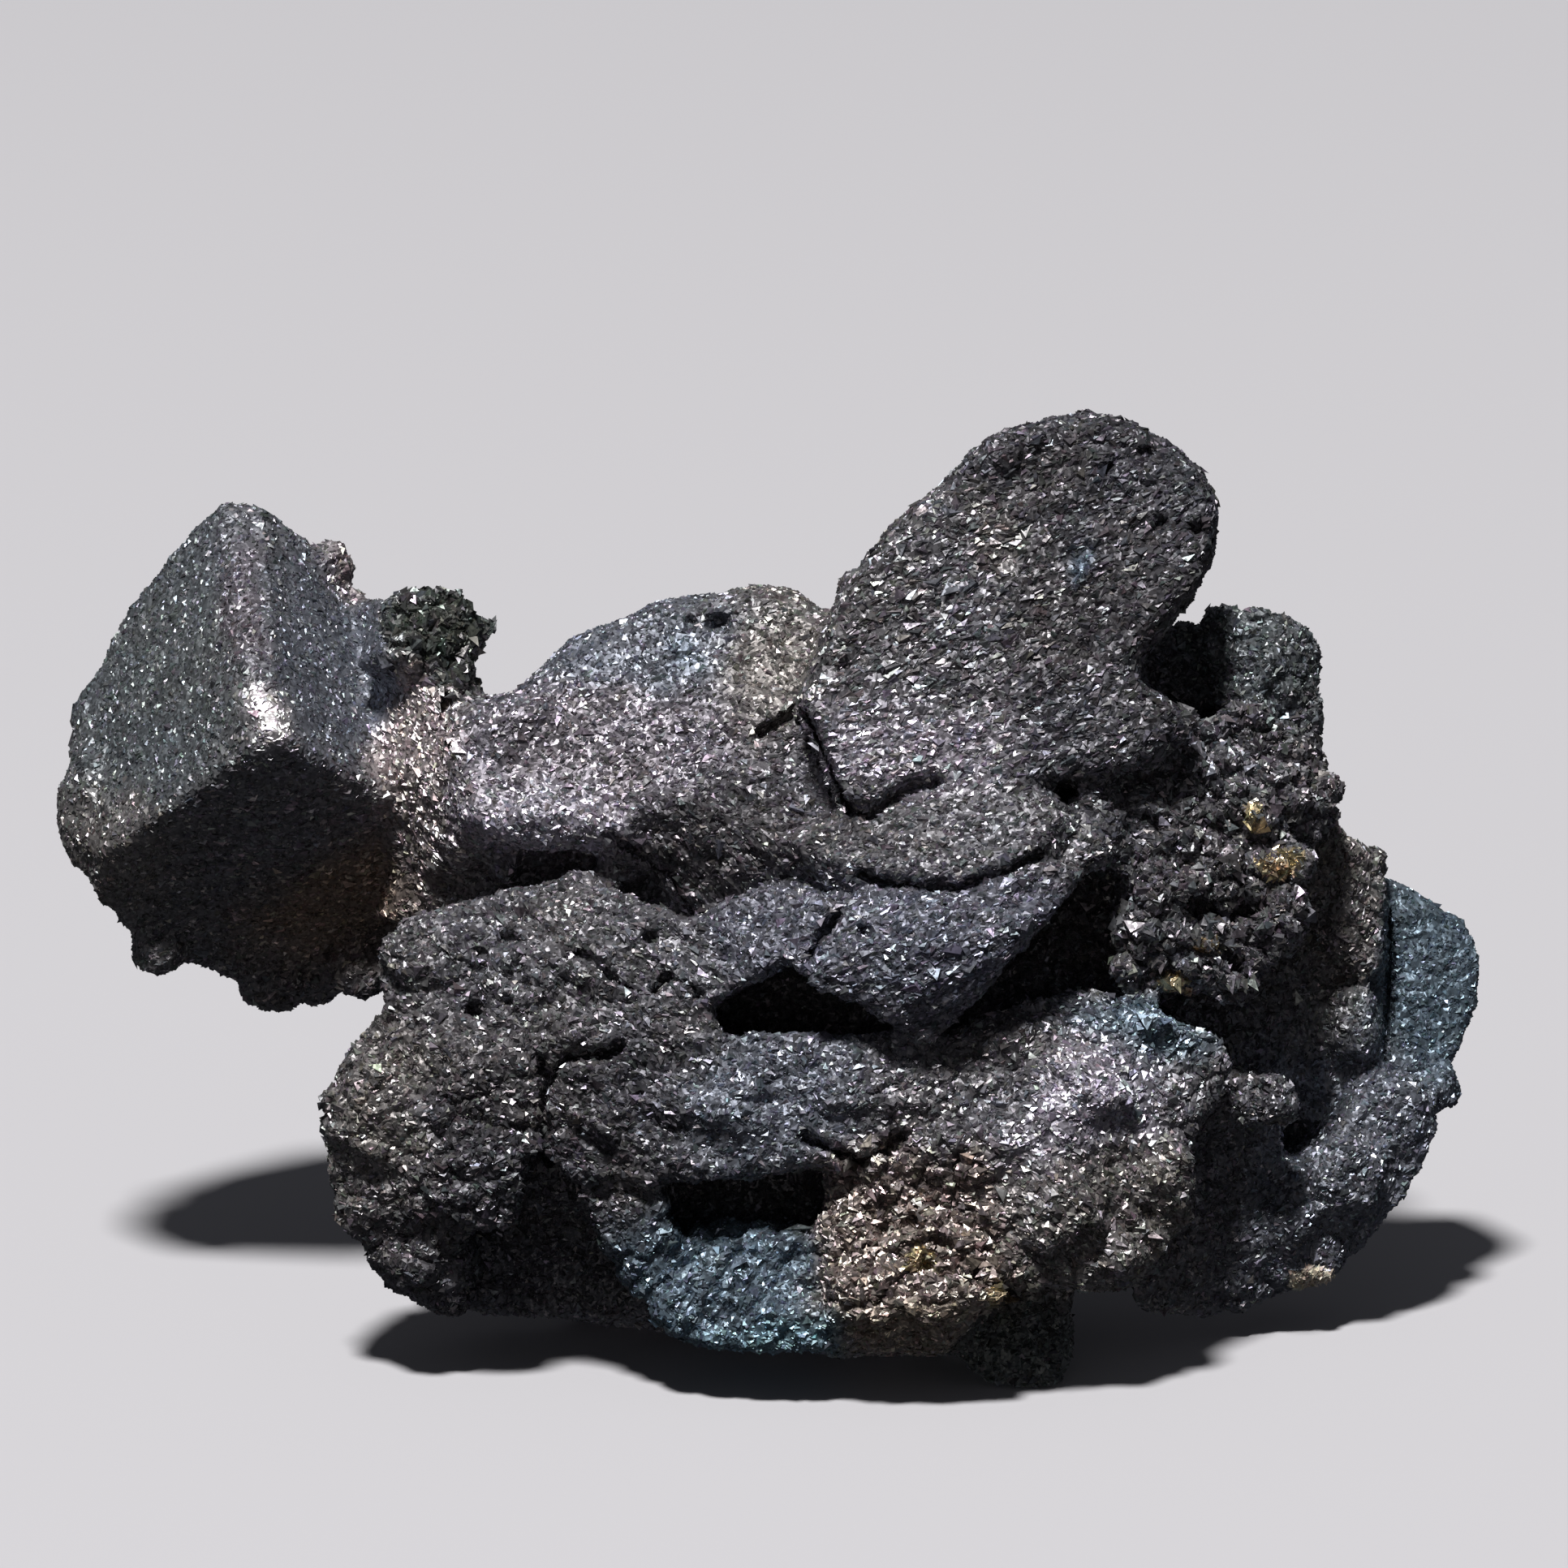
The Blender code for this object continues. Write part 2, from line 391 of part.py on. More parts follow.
# The lower left body
LEFT_UPPER = [
    (-12.0, 14.0, -0.5), (-11.6, 14.7, -0.3), (-9.6, 15.0, -0.6), (-7.5, 15.7, -0.3),
    (-6.2, 16.2, 0.0), (-4.9, 15.2, -0.8), (-2.2, 14.7, -2.3), (-1.8, 12.2, -2.6),
    (-4.5, 11.0, -2.5), (-7.0, 10.5, -2.3), (-12.0, 11.5, -1.2), (-12.1, 13.0, -0.8),
    (-11.0, 14.2, 3.0), (-6.5, 15.6, 3.2), (-3.0, 14.6, 3.0), (-11.0, 11.0, 3.4),
]
LEFT_LOWER = [
    (-12.1, 11.8, -1.0), (-13.1, 10.4, -0.8), (-14.1, 9.1, -0.3), (-13.8, 7.2, 0.0),
    (-13.5, 5.6, 0.3), (-12.8, 4.8, 0.5), (-12.0, 6.0, -0.9), (-10.0, 6.2, -1.6),
    (-10.8, 8.5, -1.9), (-9.0, 10.5, -2.3), (-7.0, 10.0, -2.2), (-7.2, 7.0, -1.8),
    (-8.0, 5.0, -1.2), (-9.8, 5.2, -1.2), (-12.6, 9.5, 3.2), (-12.2, 6.0, 3.6),
    (-8.0, 6.0, 3.0), (-7.5, 10.0, 3.2),
]
LEFT_FOOT = [
    (-12.8, 4.8, 0.3), (-12.5, 4.1, 0.5), (-12.0, 3.4, 0.7), (-10.9, 2.7, 0.8),
    (-9.6, 2.1, 0.9), (-9.2, 3.0, 0.2), (-9.5, 4.8, -0.7), (-12.0, 5.2, -0.5),
    (-12.0, 5.0, 5.0), (-11.2, 3.4, 5.4), (-9.4, 2.6, 5.6), (-9.0, 5.0, 4.6),
]
LEFT_BODY_LUMPS = [
    ((-9.1, 7.3, -1.6), (1.9, 2.3, 0.8)), ((-11.9, 8.6, -1.1), (1.8, 2.2, 0.8)),
    ((-10.4, 13.4, -1.1), (1.8, 1.4, 0.7)), ((-7.2, 12.7, -1.6), (2.0, 1.7, 0.7)),
    ((-4.4, 13.3, -1.9), (1.8, 1.6, 0.7)), ((-13.0, 6.0, 0.7), (0.75, 1.4, 1.0)),
    ((-10.9, 4.0, 0.1), (1.3, 1.1, 0.8)), ((-8.2, 15.1, -0.1), (1.3, 0.7, 0.8)),
    ((-12.3, 10.2, -0.7), (1.1, 1.3, 0.8)), ((-5.5, 9.7, -2.0), (1.3, 0.5, 0.6)),
    ((-5.9, 16.0, 0.5), (0.8, 0.4, 0.8)),
]

# The hidden core and the feet behind
CORE = [
    (-8.5, 17.0, 4.0), (-4.0, 19.0, 3.6), (3.0, 20.0, 2.2), (9.0, 20.0, 2.2),
    (11.5, 17.0, 2.2), (12.5, 12.0, 2.4), (11.5, 6.0, 2.4), (6.0, 4.6, 2.6),
    (-3.0, 4.6, 3.0), (-8.5, 6.0, 3.0), (-10.5, 9.5, 2.4), (-10.0, 14.0, 3.0),
    (-7.0, 16.0, 5.2), (3.0, 18.5, 4.4), (9.5, 16.0, 4.6), (10.0, 8.0, 4.8),
    (2.0, 6.0, 5.2), (-8.0, 8.0, 4.8),
]
CAVITY_WALL = [
    (-9.8, 2.3, 4.4), (-3.6, 2.2, 4.2), (-3.6, 7.0, 3.4), (-9.4, 7.0, 3.4),
    (-9.2, 2.5, 6.8), (-3.4, 2.4, 7.0), (-3.6, 7.0, 6.0), (-9.0, 7.0, 6.0),
]
BACK_FOOT = [
    (-6.5, 2.2, 6.4), (4.5, 1.2, 5.6), (5.0, 5.5, 3.6), (-6.0, 6.0, 4.0),
    (-5.5, 2.2, 11.0), (3.0, 2.2, 11.6), (3.6, 5.6, 9.4), (-5.0, 6.5, 9.6),
]
BACK_CUBES = [
    ((-7.0, 12.5, 5.4), (5.2, 3.8, 4.8), (22, 12, 35)),
    ((-1.5, 15.0, 5.4), (4.8, 3.4, 5.2), (-14, 28, 12)),
    ((4.5, 12.0, 5.8), (5.4, 4.0, 4.8), (30, -18, 24)),
    ((9.5, 9.5, 5.6), (4.4, 3.8, 4.4), (12, 34, -16)),
    ((-0.5, 8.5, 7.2), (4.8, 4.2, 4.4), (40, 10, 30)),
    ((-5.0, 18.5, 5.4), (4.2, 3.2, 3.8), (10, -24, 40)),
    ((2.5, 19.0, 4.2), (3.8, 2.8, 3.8), (-20, 16, 28)),
    ((-9.5, 7.5, 4.6), (3.4, 2.8, 3.4), (26, 20, 10)),
    ((11.5, 16.5, 5.2), (4.0, 3.0, 4.0), (16, -28, 34)),
    ((16.5, 12.0, 9.2), (4.0, 2.6, 4.4), (-18, 12, 20)),
]

# Hollows cut into the front
PITS = [
    ((13.4, 11.5, -1.0), (0.8, 0.5, 2.0)),
    ((-7.4, 7.1, -2.2), (0.5, 0.5, 1.4)),
    ((-1.4, 24.0, 2.2), (0.35, 0.35, 1.0)),
    ((12.9, 26.95, -1.4), (0.7, 0.25, 0.8)),
    ((11.7, 17.35, -0.6), (0.7, 0.3, 0.9)),
    ((14.4, 14.9, -0.2), (0.9, 0.2, 0.8)),
]


def add_all(shape):
    """Adds every crystal and lump of the cluster."""
    for points in (LEFT_CUBE, NECK, TONGUE_FLAKE, BACK_KNOB, HOLE_WALL, UPPER_GRANULAR,
                   LOWER_GRANULAR, UPPER_PLATE, LOWER_PLATE, PLATE_STRIP, PLATE_ARM, CLIFF,
                   RIDGE_TOP, RIDGE_LOW, RIDGE_BOSS, GRANULAR_NECK, MIDDLE_LEFT, MIDDLE_RIGHT,
                   LOWER_RIGHT, SIDE_LINK, SIDE_WALL, INNER_SLOPE, SLIT_WALL,
                   BOTTOM_BLOCK, CRUMPLED_BLOCK, KNOB, LEFT_ARM, LEFT_UPPER, LEFT_LOWER,
                   LEFT_FOOT, CORE, CAVITY_WALL, BACK_FOOT):
        add_crystal(shape, points)
    add_slab(shape, BRIDGE_OUTLINE, BRIDGE_FRONT, BRIDGE_BACK, (0.5, 0.7))
    add_slab(shape, TONGUE_OUTLINE, TONGUE_FRONT, TONGUE_BACK, (0.35, 0.8))
    lumps = (LEFT_LUMPS + NECK_LUMPS + BRIDGE_LUMPS + GRANULAR_LUMPS + PLATE_LUMPS
             + MIDDLE_LUMPS + BOTTOM_LUMPS + LEFT_BODY_LUMPS)
    for seed, (centre, radii) in enumerate(lumps):
        add_lump(shape, centre, radii, seed)
    for centre, size, turn in TONGUE_BACK_CUBES + BACK_CUBES:
        add_cube(shape, centre, size, turn)


def new_object(name, shape):
    """A new scene object that holds the shape."""
    mesh = bpy.data.meshes.new(name)
    shape.to_mesh(mesh)
    shape.free()
    thing = bpy.data.objects.new(name, mesh)
    bpy.context.scene.collection.objects.link(thing)
    return thing


def hide_cutter(thing):
    """Marks a shape as one that only cuts."""
    thing.hide_render = True
    thing.display_type = "WIRE"


def pit_cutter():
    """The hollows as one closed cutter."""
    shape = bmesh.new()
    for seed, (centre, radii) in enumerate(PITS):
        add_lump(shape, centre, radii, 500 + seed, cubes=1)
    cutter = new_object("pit_cutter", shape)
    hide_cutter(cutter)
    return cutter


def floor_cutter(level):
    """A block whose top face is the level that the specimen stands on."""
    shape = bmesh.new()
    bmesh.ops.create_cube(shape, size=2.0 * FLOOR_REACH)
    bmesh.ops.translate(shape, vec=(0.0, 0.0, level - FLOOR_REACH), verts=shape.verts)
    cutter = new_object("floor_cutter", shape)
    hide_cutter(cutter)
    return cutter


def evaluated_mesh(thing):
    """The mesh of an object with its modifiers applied."""
    bpy.context.view_layer.update()
    graph = bpy.context.evaluated_depsgraph_get()
    return bpy.data.meshes.new_from_object(thing.evaluated_get(graph), depsgraph=graph)


def cut_with(thing, cutter):
    """Takes the cutter's volume out of the object."""
    cut = thing.modifiers.new("cut", "BOOLEAN")
    cut.operation = "DIFFERENCE"
    cut.object = cutter


def joined_mesh():
    """The cluster as one closed mesh, in millimetres, before it is moved to its origin."""
    shape = bmesh.new()
    add_all(shape)
    cluster = new_object("cluster", shape)
    join = cluster.modifiers.new("join", "REMESH")
    join.mode = "VOXEL"
    join.voxel_size = GRAIN
    cut_with(cluster, pit_cutter())
    grain = bpy.data.textures.new("grain", "CLOUDS")
    grain.noise_scale = ROUGH_SCALE
    rough = cluster.modifiers.new("rough", "DISPLACE")
    rough.texture = grain
    rough.texture_coords = "GLOBAL"
    rough.strength = ROUGHNESS
    rough.mid_level = 0.5
    clean = cluster.modifiers.new("clean", "REMESH")
    clean.mode = "VOXEL"
    clean.voxel_size = GRAIN
    fine = evaluated_mesh(cluster)
    cluster.modifiers.clear()
    cluster.data = fine
    fine.calc_loop_triangles()
    thin = cluster.modifiers.new("thin", "DECIMATE")
    thin.ratio = TRIANGLES / len(fine.loop_triangles)
    thin.use_collapse_triangulate = True
    cut_with(cluster, floor_cutter(seen(0.0, *LOWEST_SPOT).z))
    return evaluated_mesh(cluster)


def galena_material():
    """Lead-grey metal."""
    material = bpy.data.materials.new("galena")
    material.use_nodes = True
    shader = material.node_tree.nodes["Principled BSDF"]
    shader.inputs["Base Color"].default_value = LEAD_GREY
    shader.inputs["Metallic"].default_value = 0.9
    shader.inputs["Roughness"].default_value = 0.42
    return material


def largest_body(shape):
    """Keeps only the largest connected body of the shape."""
    unseen = set(shape.verts)
    bodies = []
    while unseen:
        body = set()
        front = [unseen.pop()]
        while front:
            vert = front.pop()
            body.add(vert)
            for edge in vert.link_edges:
                other = edge.other_vert(vert)
                if other in unseen:
                    unseen.remove(other)
                    front.append(other)
        bodies.append(body)
    bodies.sort(key=len)
    for body in bodies[:-1]:
        bmesh.ops.delete(shape, geom=list(body), context="VERTS")


def main():
    for thing in list(bpy.data.objects):
        bpy.data.objects.remove(thing, do_unlink=True)
    mesh = joined_mesh()
    shape = bmesh.new()
    shape.from_mesh(mesh)
    largest_body(shape)
    bmesh.ops.triangulate(shape, faces=shape.faces)
    xs = [vert.co.x for vert in shape.verts]
    ys = [vert.co.y for vert in shape.verts]
    lowest = min(vert.co.z for vert in shape.verts)
    middle = Vector(((min(xs) + max(xs)) / 2.0, (min(ys) + max(ys)) / 2.0, lowest))
    print("origin lies at", *(round(value, 3) for value in middle), "mm")
    shape.transform(Matrix.Scale(MM, 4) @ Matrix.Translation(-middle))
    for thing in list(bpy.data.objects):
        bpy.data.objects.remove(thing, do_unlink=True)
    galena = new_object("galena", shape)
    galena.data.materials.clear()
    galena.data.materials.append(galena_material())


main()
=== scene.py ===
"""Looks of a galena specimen: its crystal crust, cracks and tarnish, in a plain studio.

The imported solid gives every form. It is made finer, sculpted and roughened, and then a crust
of tiny crystal corners is grown on it. Places are written as they are seen from the front: across
to the right, up, and depth away from the viewer, in millimetres.
"""

import math

import bmesh
import bpy
import numpy as np
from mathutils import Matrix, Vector


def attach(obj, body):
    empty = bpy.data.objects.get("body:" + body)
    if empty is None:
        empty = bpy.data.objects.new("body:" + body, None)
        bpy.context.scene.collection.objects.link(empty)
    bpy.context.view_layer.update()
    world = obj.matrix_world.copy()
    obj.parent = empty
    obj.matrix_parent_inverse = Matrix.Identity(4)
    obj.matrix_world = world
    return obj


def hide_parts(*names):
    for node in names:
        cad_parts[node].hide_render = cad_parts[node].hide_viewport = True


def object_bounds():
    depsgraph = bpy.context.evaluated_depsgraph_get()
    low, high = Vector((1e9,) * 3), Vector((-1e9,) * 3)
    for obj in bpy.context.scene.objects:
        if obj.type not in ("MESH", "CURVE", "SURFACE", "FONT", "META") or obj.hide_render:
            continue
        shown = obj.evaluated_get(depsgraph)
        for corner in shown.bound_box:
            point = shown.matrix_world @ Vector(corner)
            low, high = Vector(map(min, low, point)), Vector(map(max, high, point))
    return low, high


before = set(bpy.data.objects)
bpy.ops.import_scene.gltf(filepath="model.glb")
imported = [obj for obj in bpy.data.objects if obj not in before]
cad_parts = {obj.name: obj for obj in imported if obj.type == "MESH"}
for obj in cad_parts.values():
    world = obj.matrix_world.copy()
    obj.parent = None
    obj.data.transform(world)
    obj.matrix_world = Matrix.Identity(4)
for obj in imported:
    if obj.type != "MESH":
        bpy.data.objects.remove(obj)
CAD_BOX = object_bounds()

MM = 0.001

# How the front view sees the specimen, and where its own origin lies in those millimetres
VIEW_TILT = math.radians(15.0)
VIEW_DISTANCE = 400.0
VIEW_CENTRE = (0.61, 18.95)
VIEW_WIDTH = 49.08
ORIGIN = (0.126, 8.665, -0.152)
SENSOR = 36.0

# The ways that the light travels and that the camera looks, in the specimen's frame
LIGHT_WAY = Vector((0.20, 0.63, -1.51)).normalized()
VIEW_WAY = Vector((0.0, math.cos(VIEW_TILT), -math.sin(VIEW_TILT)))

# Further off than anything measured here
FAR_OFF = 99.0

# Odd multipliers that scatter the bits of a cell's coordinates and of a seed
CELL_FACTORS = (0x9E3779B97F4A7C15, 0xC2B2AE3D27D4EB4F, 0x165667B19E3779F9)
SEED_FACTOR = 0xD6E8FEB86659FD93
RANDOM_BITS = 24

# Layered noise: how many layers, how much finer and weaker each is, and the step in seeds
NOISE_LAYERS = 3
LAYER_FINER = 2.03
LAYER_WEAKER = 0.5
LAYER_SEEDS = 17

# Creases: how far apart they are, how much longer than wide, how much a step inward counts,
# how high the ridges between them rise and how steeply they fall
CREASE_SIZE = 0.9
CREASE_STRETCH = 3.2
CREASE_INWARD = 0.5
CREASE_RISE = 0.5
CREASE_FALL = 2.5
CREASE_SEED = 81

# The body's mesh
FINE_VOXEL = 0.13
SOFTEN_FACTOR = 0.5
SOFTEN_STEPS = 3
BODY_TRIANGLES = 185000
BOX_MARGIN = 0.02

# Metal colours before tarnish varies them
CHARCOAL = (0.165, 0.160, 0.175)
DARK_GREY = (0.100, 0.096, 0.108)
VIOLET_GREY = (0.200, 0.184, 0.215)
BROWN_GREY = (0.215, 0.200, 0.195)
STEEL_BLUE = (0.172, 0.186, 0.226)
DARK_BLUE = (0.150, 0.155, 0.195)
TEAL = (0.118, 0.165, 0.210)
BRIGHT_TEAL = (0.150, 0.250, 0.310)
SKY_BLUE = (0.170, 0.230, 0.310)
GREEN_TEAL = (0.150, 0.166, 0.180)
BRONZE = (0.250, 0.185, 0.145)
ROSE_BRONZE = (0.270, 0.222, 0.205)
# Near white for the facet at the cube's corner: a painted highlight
PAINTED_HIGHLIGHT_WHITE = (0.700, 0.660, 0.690)
BLACK_GREEN = (0.095, 0.105, 0.098)
PALE_PINK = (0.380, 0.330, 0.335)
PALE_LILAC = (0.350, 0.330, 0.385)
TAN = (0.280, 0.235, 0.195)


class Zone:
    """A stretch of the surface: where it lies, its colour, and how it is grained.

    grain is the size of its crystals in millimetres, stretch how long they are drawn out,
    lean the angle in degrees that they and the wrinkles run at, lump and wrinkle how far the
    surface swells and creases in millimetres, and glint how often, next to other zones, its
    crystals mirror the light to the front.
    """

    def __init__(self, place, reach, colour, grain=0.22, stretch=1.0, lean=0.0, lump=0.10,
                 glint=0.10, wrinkle=0.0):
        self.place = place
        self.reach = reach
        self.colour = colour
        self.grain = grain
        self.stretch = stretch
        self.lean = lean
        self.lump = lump
        self.glint = glint
        self.wrinkle = wrinkle


ZONES = {
    "cube_left": Zone((-18.8, 20.8, 5.5), (3.2, 5.0, 4.0), GREEN_TEAL, 0.15, 1.5, 70, 0.02, 0.03, 0.05),
    "cube_left_low": Zone((-19.5, 17.2, 5.5), (2.6, 2.4, 4.0), BROWN_GREY, 0.15, 1.5, 62, 0.03, 0.04, 0.03),
    "cube_crest": Zone((-16.3, 24.6, 4.2), (0.7, 2.2, 2.5), VIOLET_GREY, 0.17, 1.6, 78, 0.03, 0.10, 0.08),
    # The facet at the cube's corner is coloured near white, a painted highlight, besides its crystals
    # turned to mirror the light
    "cube_facet_highlight": Zone((-15.5, 21.2, 1.3), (0.8, 0.9, 1.4), PAINTED_HIGHLIGHT_WHITE, 0.20, 1.2, 20, 0.01, 1.8),
    "cube_right": Zone((-13.2, 22.5, 5.0), (2.2, 3.6, 4.0), STEEL_BLUE, 0.15, 1.4, -30, 0.02, 0.04),
    "cube_under": Zone((-16.0, 17.0, 5.0), (4.4, 3.4, 4.0), CHARCOAL, 0.17, 2.2, 4, 0.03, 0.03),
    "cube_bronze": Zone((-13.8, 15.6, 7.0), (3.0, 2.4, 4.0), BRONZE, 0.17, 2.2, 12, 0.03, 0.16),
    "cube_rim": Zone((-12.0, 26.0, 8.5), (1.4, 1.4, 3.0), PALE_PINK, 0.19, 1.0, 0, 0.10, 0.22),
    "neck": Zone((-11.0, 20.2, 3.5), (1.3, 3.4, 3.5), PALE_PINK, 0.19, 1.4, -50, 0.08, 0.8, 0.06),
    "neck_ball": Zone((-10.4, 23.5, 4.2), (1.9, 1.8, 3.0), BLACK_GREEN, 0.3, 1.0, 0, 0.3, 0.05),
    "slope_top": Zone((-4.0, 23.0, 3.5), (3.4, 1.8, 3.5), STEEL_BLUE, 0.16, 1.2, 20, 0.04, 0.08),
    "slope": Zone((-5.2, 20.4, 2.0), (3.8, 2.0, 3.5), VIOLET_GREY, 0.18, 1.2, 20, 0.05, 0.42, 0.05),
    "slope_right": Zone((0.4, 22.6, 2.4), (1.8, 2.4, 3.0), BROWN_GREY, 0.17, 1.2, 20, 0.05, 0.10, 0.05),
    "slope_nose": Zone((-6.8, 18.0, 1.0), (2.4, 1.2, 3.0), PALE_LILAC, 0.18, 1.5, -35, 0.06, 0.32, 0.08),
    "cliff": Zone((-1.0, 17.2, 0.0), (3.4, 1.6, 2.5), DARK_GREY, 0.20, 1.6, -30, 0.10, 0.04, 0.2),
    "tongue_left": Zone((4.6, 23.6, -1.5), (3.4, 4.2, 3.5), CHARCOAL, 0.22, 2.0, 22, 0.05, 0.17, 0.08),
    "tongue_low": Zone((4.6, 20.2, -2.0), (3.0, 2.0, 3.0), PALE_LILAC, 0.20, 1.8, 22, 0.05, 0.26, 0.05),
    "tongue_right": Zone((10.6, 24.4, -1.0), (3.6, 5.0, 3.5), DARK_GREY, 0.20, 2.0, 28, 0.04, 0.07, 0.08),
    "tongue_top": Zone((10.4, 29.0, -0.5), (3.4, 1.8, 3.5), DARK_GREY, 0.20, 1.6, 20, 0.10, 0.02, 0.08),
    "tongue_blue": Zone((10.0, 25.6, -1.2), (0.8, 1.6, 2.0), SKY_BLUE, 0.18, 1.8, 28, 0.04, 0.06),
    "tongue_warm": Zone((7.2, 26.6, -1.6), (1.2, 1.2, 2.0), BROWN_GREY, 0.22, 2.0, 22, 0.05, 0.24),
    "slope_blue": Zone((-2.6, 23.1, 3.2), (1.0, 0.9, 2.5), SKY_BLUE, 0.16, 1.2, 20, 0.04, 0.12),
    "back_knob": Zone((15.8, 23.0, 4.0), (2.0, 2.0, 3.0), GREEN_TEAL, 0.20, 1.0, 0, 0.12, 0.08),
    "ridge_top": Zone((4.6, 17.6, -3.0), (4.6, 1.7, 2.5), CHARCOAL, 0.18, 1.8, 12, 0.06, 0.1, 0.12),
    "ridge_low": Zone((4.6, 13.8, -4.4), (5.0, 2.6, 3.0), DARK_BLUE, 0.20, 2.0, 25, 0.08, 0.18, 0.16),
    "ridge_boss": Zone((0.2, 14.6, -3.0), (2.0, 1.4, 2.5), DARK_BLUE, 0.18, 1.2, 10, 0.08, 0.08, 0.12),
    "granular_up": Zone((14.2, 18.4, 1.4), (4.2, 3.2, 3.5), CHARCOAL, 0.27, 1.0, 0, 0.36, 0.09),
    "granular_low": Zone((13.6, 14.2, 0.4), (3.8, 2.8, 3.0), CHARCOAL, 0.27, 1.0, 0, 0.36, 0.10),
    "granular_neck": Zone((10.6, 17.4, -1.0), (1.6, 1.8, 2.5), CHARCOAL, 0.22, 1.2, 0, 0.20, 0.12),
    "strip": Zone((18.2, 15.4, 5.2), (1.4, 3.4, 3.0), BROWN_GREY, 0.20, 1.2, 60, 0.10, 0.08),
    "plate": Zone((21.0, 13.4, 8.2), (2.2, 3.6, 4.0), TEAL, 0.15, 1.2, 40, 0.04, 0.02),
    "plate_low": Zone((18.8, 7.2, 5.6), (3.4, 3.4, 4.0), STEEL_BLUE, 0.17, 1.2, 40, 0.08, 0.22),
    "body_left": Zone((-8.4, 13.2, -0.8), (4.6, 2.4, 3.0), CHARCOAL, 0.19, 1.2, -35, 0.12, 0.10, 0.18),
    "body_edge": Zone((-12.4, 8.6, -0.4), (2.2, 3.6, 3.5), BROWN_GREY, 0.19, 1.2, 0, 0.14, 0.12),
    "body_lump": Zone((-9.0, 7.4, -1.6), (2.0, 2.6, 3.0), DARK_GREY, 0.20, 1.2, 0, 0.16, 0.10, 0.1),
    "body_inner": Zone((-3.6, 13.2, -2.0), (2.4, 1.8, 3.0), CHARCOAL, 0.18, 1.8, -38, 0.08, 0.08, 0.2),
    "middle_left": Zone((-4.6, 8.6, -2.2), (2.6, 2.4, 3.0), DARK_GREY, 0.19, 1.5, -20, 0.10, 0.06, 0.18),
    "middle": Zone((0.2, 9.0, -2.8), (2.8, 1.6, 3.0), STEEL_BLUE, 0.18, 1.3, 10, 0.05, 0.12, 0.08),
    "middle_right": Zone((6.6, 9.8, -3.0), (2.8, 1.8, 3.0), CHARCOAL, 0.20, 1.2, 30, 0.10, 0.3, 0.14),
    "bright_right": Zone((9.8, 9.0, -2.2), (2.4, 1.8, 3.0), PALE_LILAC, 0.19, 1.3, -40, 0.06, 0.62, 0.16),
    "low_right": Zone((10.6, 5.8, -1.6), (2.8, 2.6, 3.0), BROWN_GREY, 0.20, 1.8, -40, 0.08, 0.34, 0.22),
    "side_block": Zone((14.6, 7.8, 1.6), (2.2, 2.6, 3.0), CHARCOAL, 0.20, 1.0, 0, 0.14, 0.06),
    "teal_side": Zone((12.2, 11.4, -0.8), (2.2, 1.0, 2.5), TEAL, 0.19, 1.2, 0, 0.10, 0.5),
    "block": Zone((4.4, 4.2, -2.6), (3.0, 2.8, 3.0), ROSE_BRONZE, 0.25, 1.2, 0, 0.24, 0.55),
    "block_low": Zone((4.6, 2.2, -2.2), (2.6, 1.2, 3.0), TAN, 0.20, 1.8, 5, 0.10, 0.4),
    "crumpled": Zone((-1.0, 3.4, -1.2), (2.8, 2.2, 3.0), TEAL, 0.17, 1.4, 50, 0.08, 0.12, 0.42),
    "crumpled_low": Zone((0.0, 1.8, -1.6), (2.4, 0.8, 2.5), BRIGHT_TEAL, 0.18, 1.2, 20, 0.08, 1.2, 0.24),
    # The foot is coloured near black: painted shade where it sits under the body
    "foot": Zone((7.8, 1.0, 1.2), (2.2, 1.6, 3.5), BLACK_GREEN, 0.20, 1.0, 0, 0.06, 0.02),
    "low_left": Zone((-10.6, 4.2, 1.0), (2.6, 2.0, 3.5), DARK_GREY, 0.20, 1.0, 0, 0.14, 0.08),
    "back": Zone((0.0, 12.0, 9.0), (14.0, 10.0, 4.5), CHARCOAL, 0.20, 1.2, 20, 0.12, 0.08),
    "back_cube": Zone((-16.0, 19.0, 13.0), (5.0, 6.0, 4.0), STEEL_BLUE, 0.18, 1.4, 30, 0.06, 0.08),
    "back_plate": Zone((18.0, 11.0, 12.0), (5.0, 6.0, 3.5), GREEN_TEAL, 0.18, 1.2, 30, 0.08, 0.08),
}


# How sharply one zone gives way to the next, how their edges wander, and the least weight
# that brings a zone's creases along
ZONE_CORE = 0.03
ZONE_SHARPNESS = 3.0
EDGE_SIZE = 1.1
EDGE_WANDER = 0.5
EDGE_SEED = 301
LEAST_WEIGHT = 0.02


def seen(across, up, depth):
    """The place in the specimen's frame, in metres, of a point seen at (across, up)."""
    spread = 1.0 + depth / VIEW_DISTANCE
    x = VIEW_CENTRE[0] + (across - VIEW_CENTRE[0]) * spread
    rise = VIEW_CENTRE[1] + (up - VIEW_CENTRE[1]) * spread
    y = rise * math.sin(VIEW_TILT) + depth * math.cos(VIEW_TILT)
    z = rise * math.cos(VIEW_TILT) - depth * math.sin(VIEW_TILT)
    return Vector((x - ORIGIN[0], y - ORIGIN[1], z - ORIGIN[2])) * MM


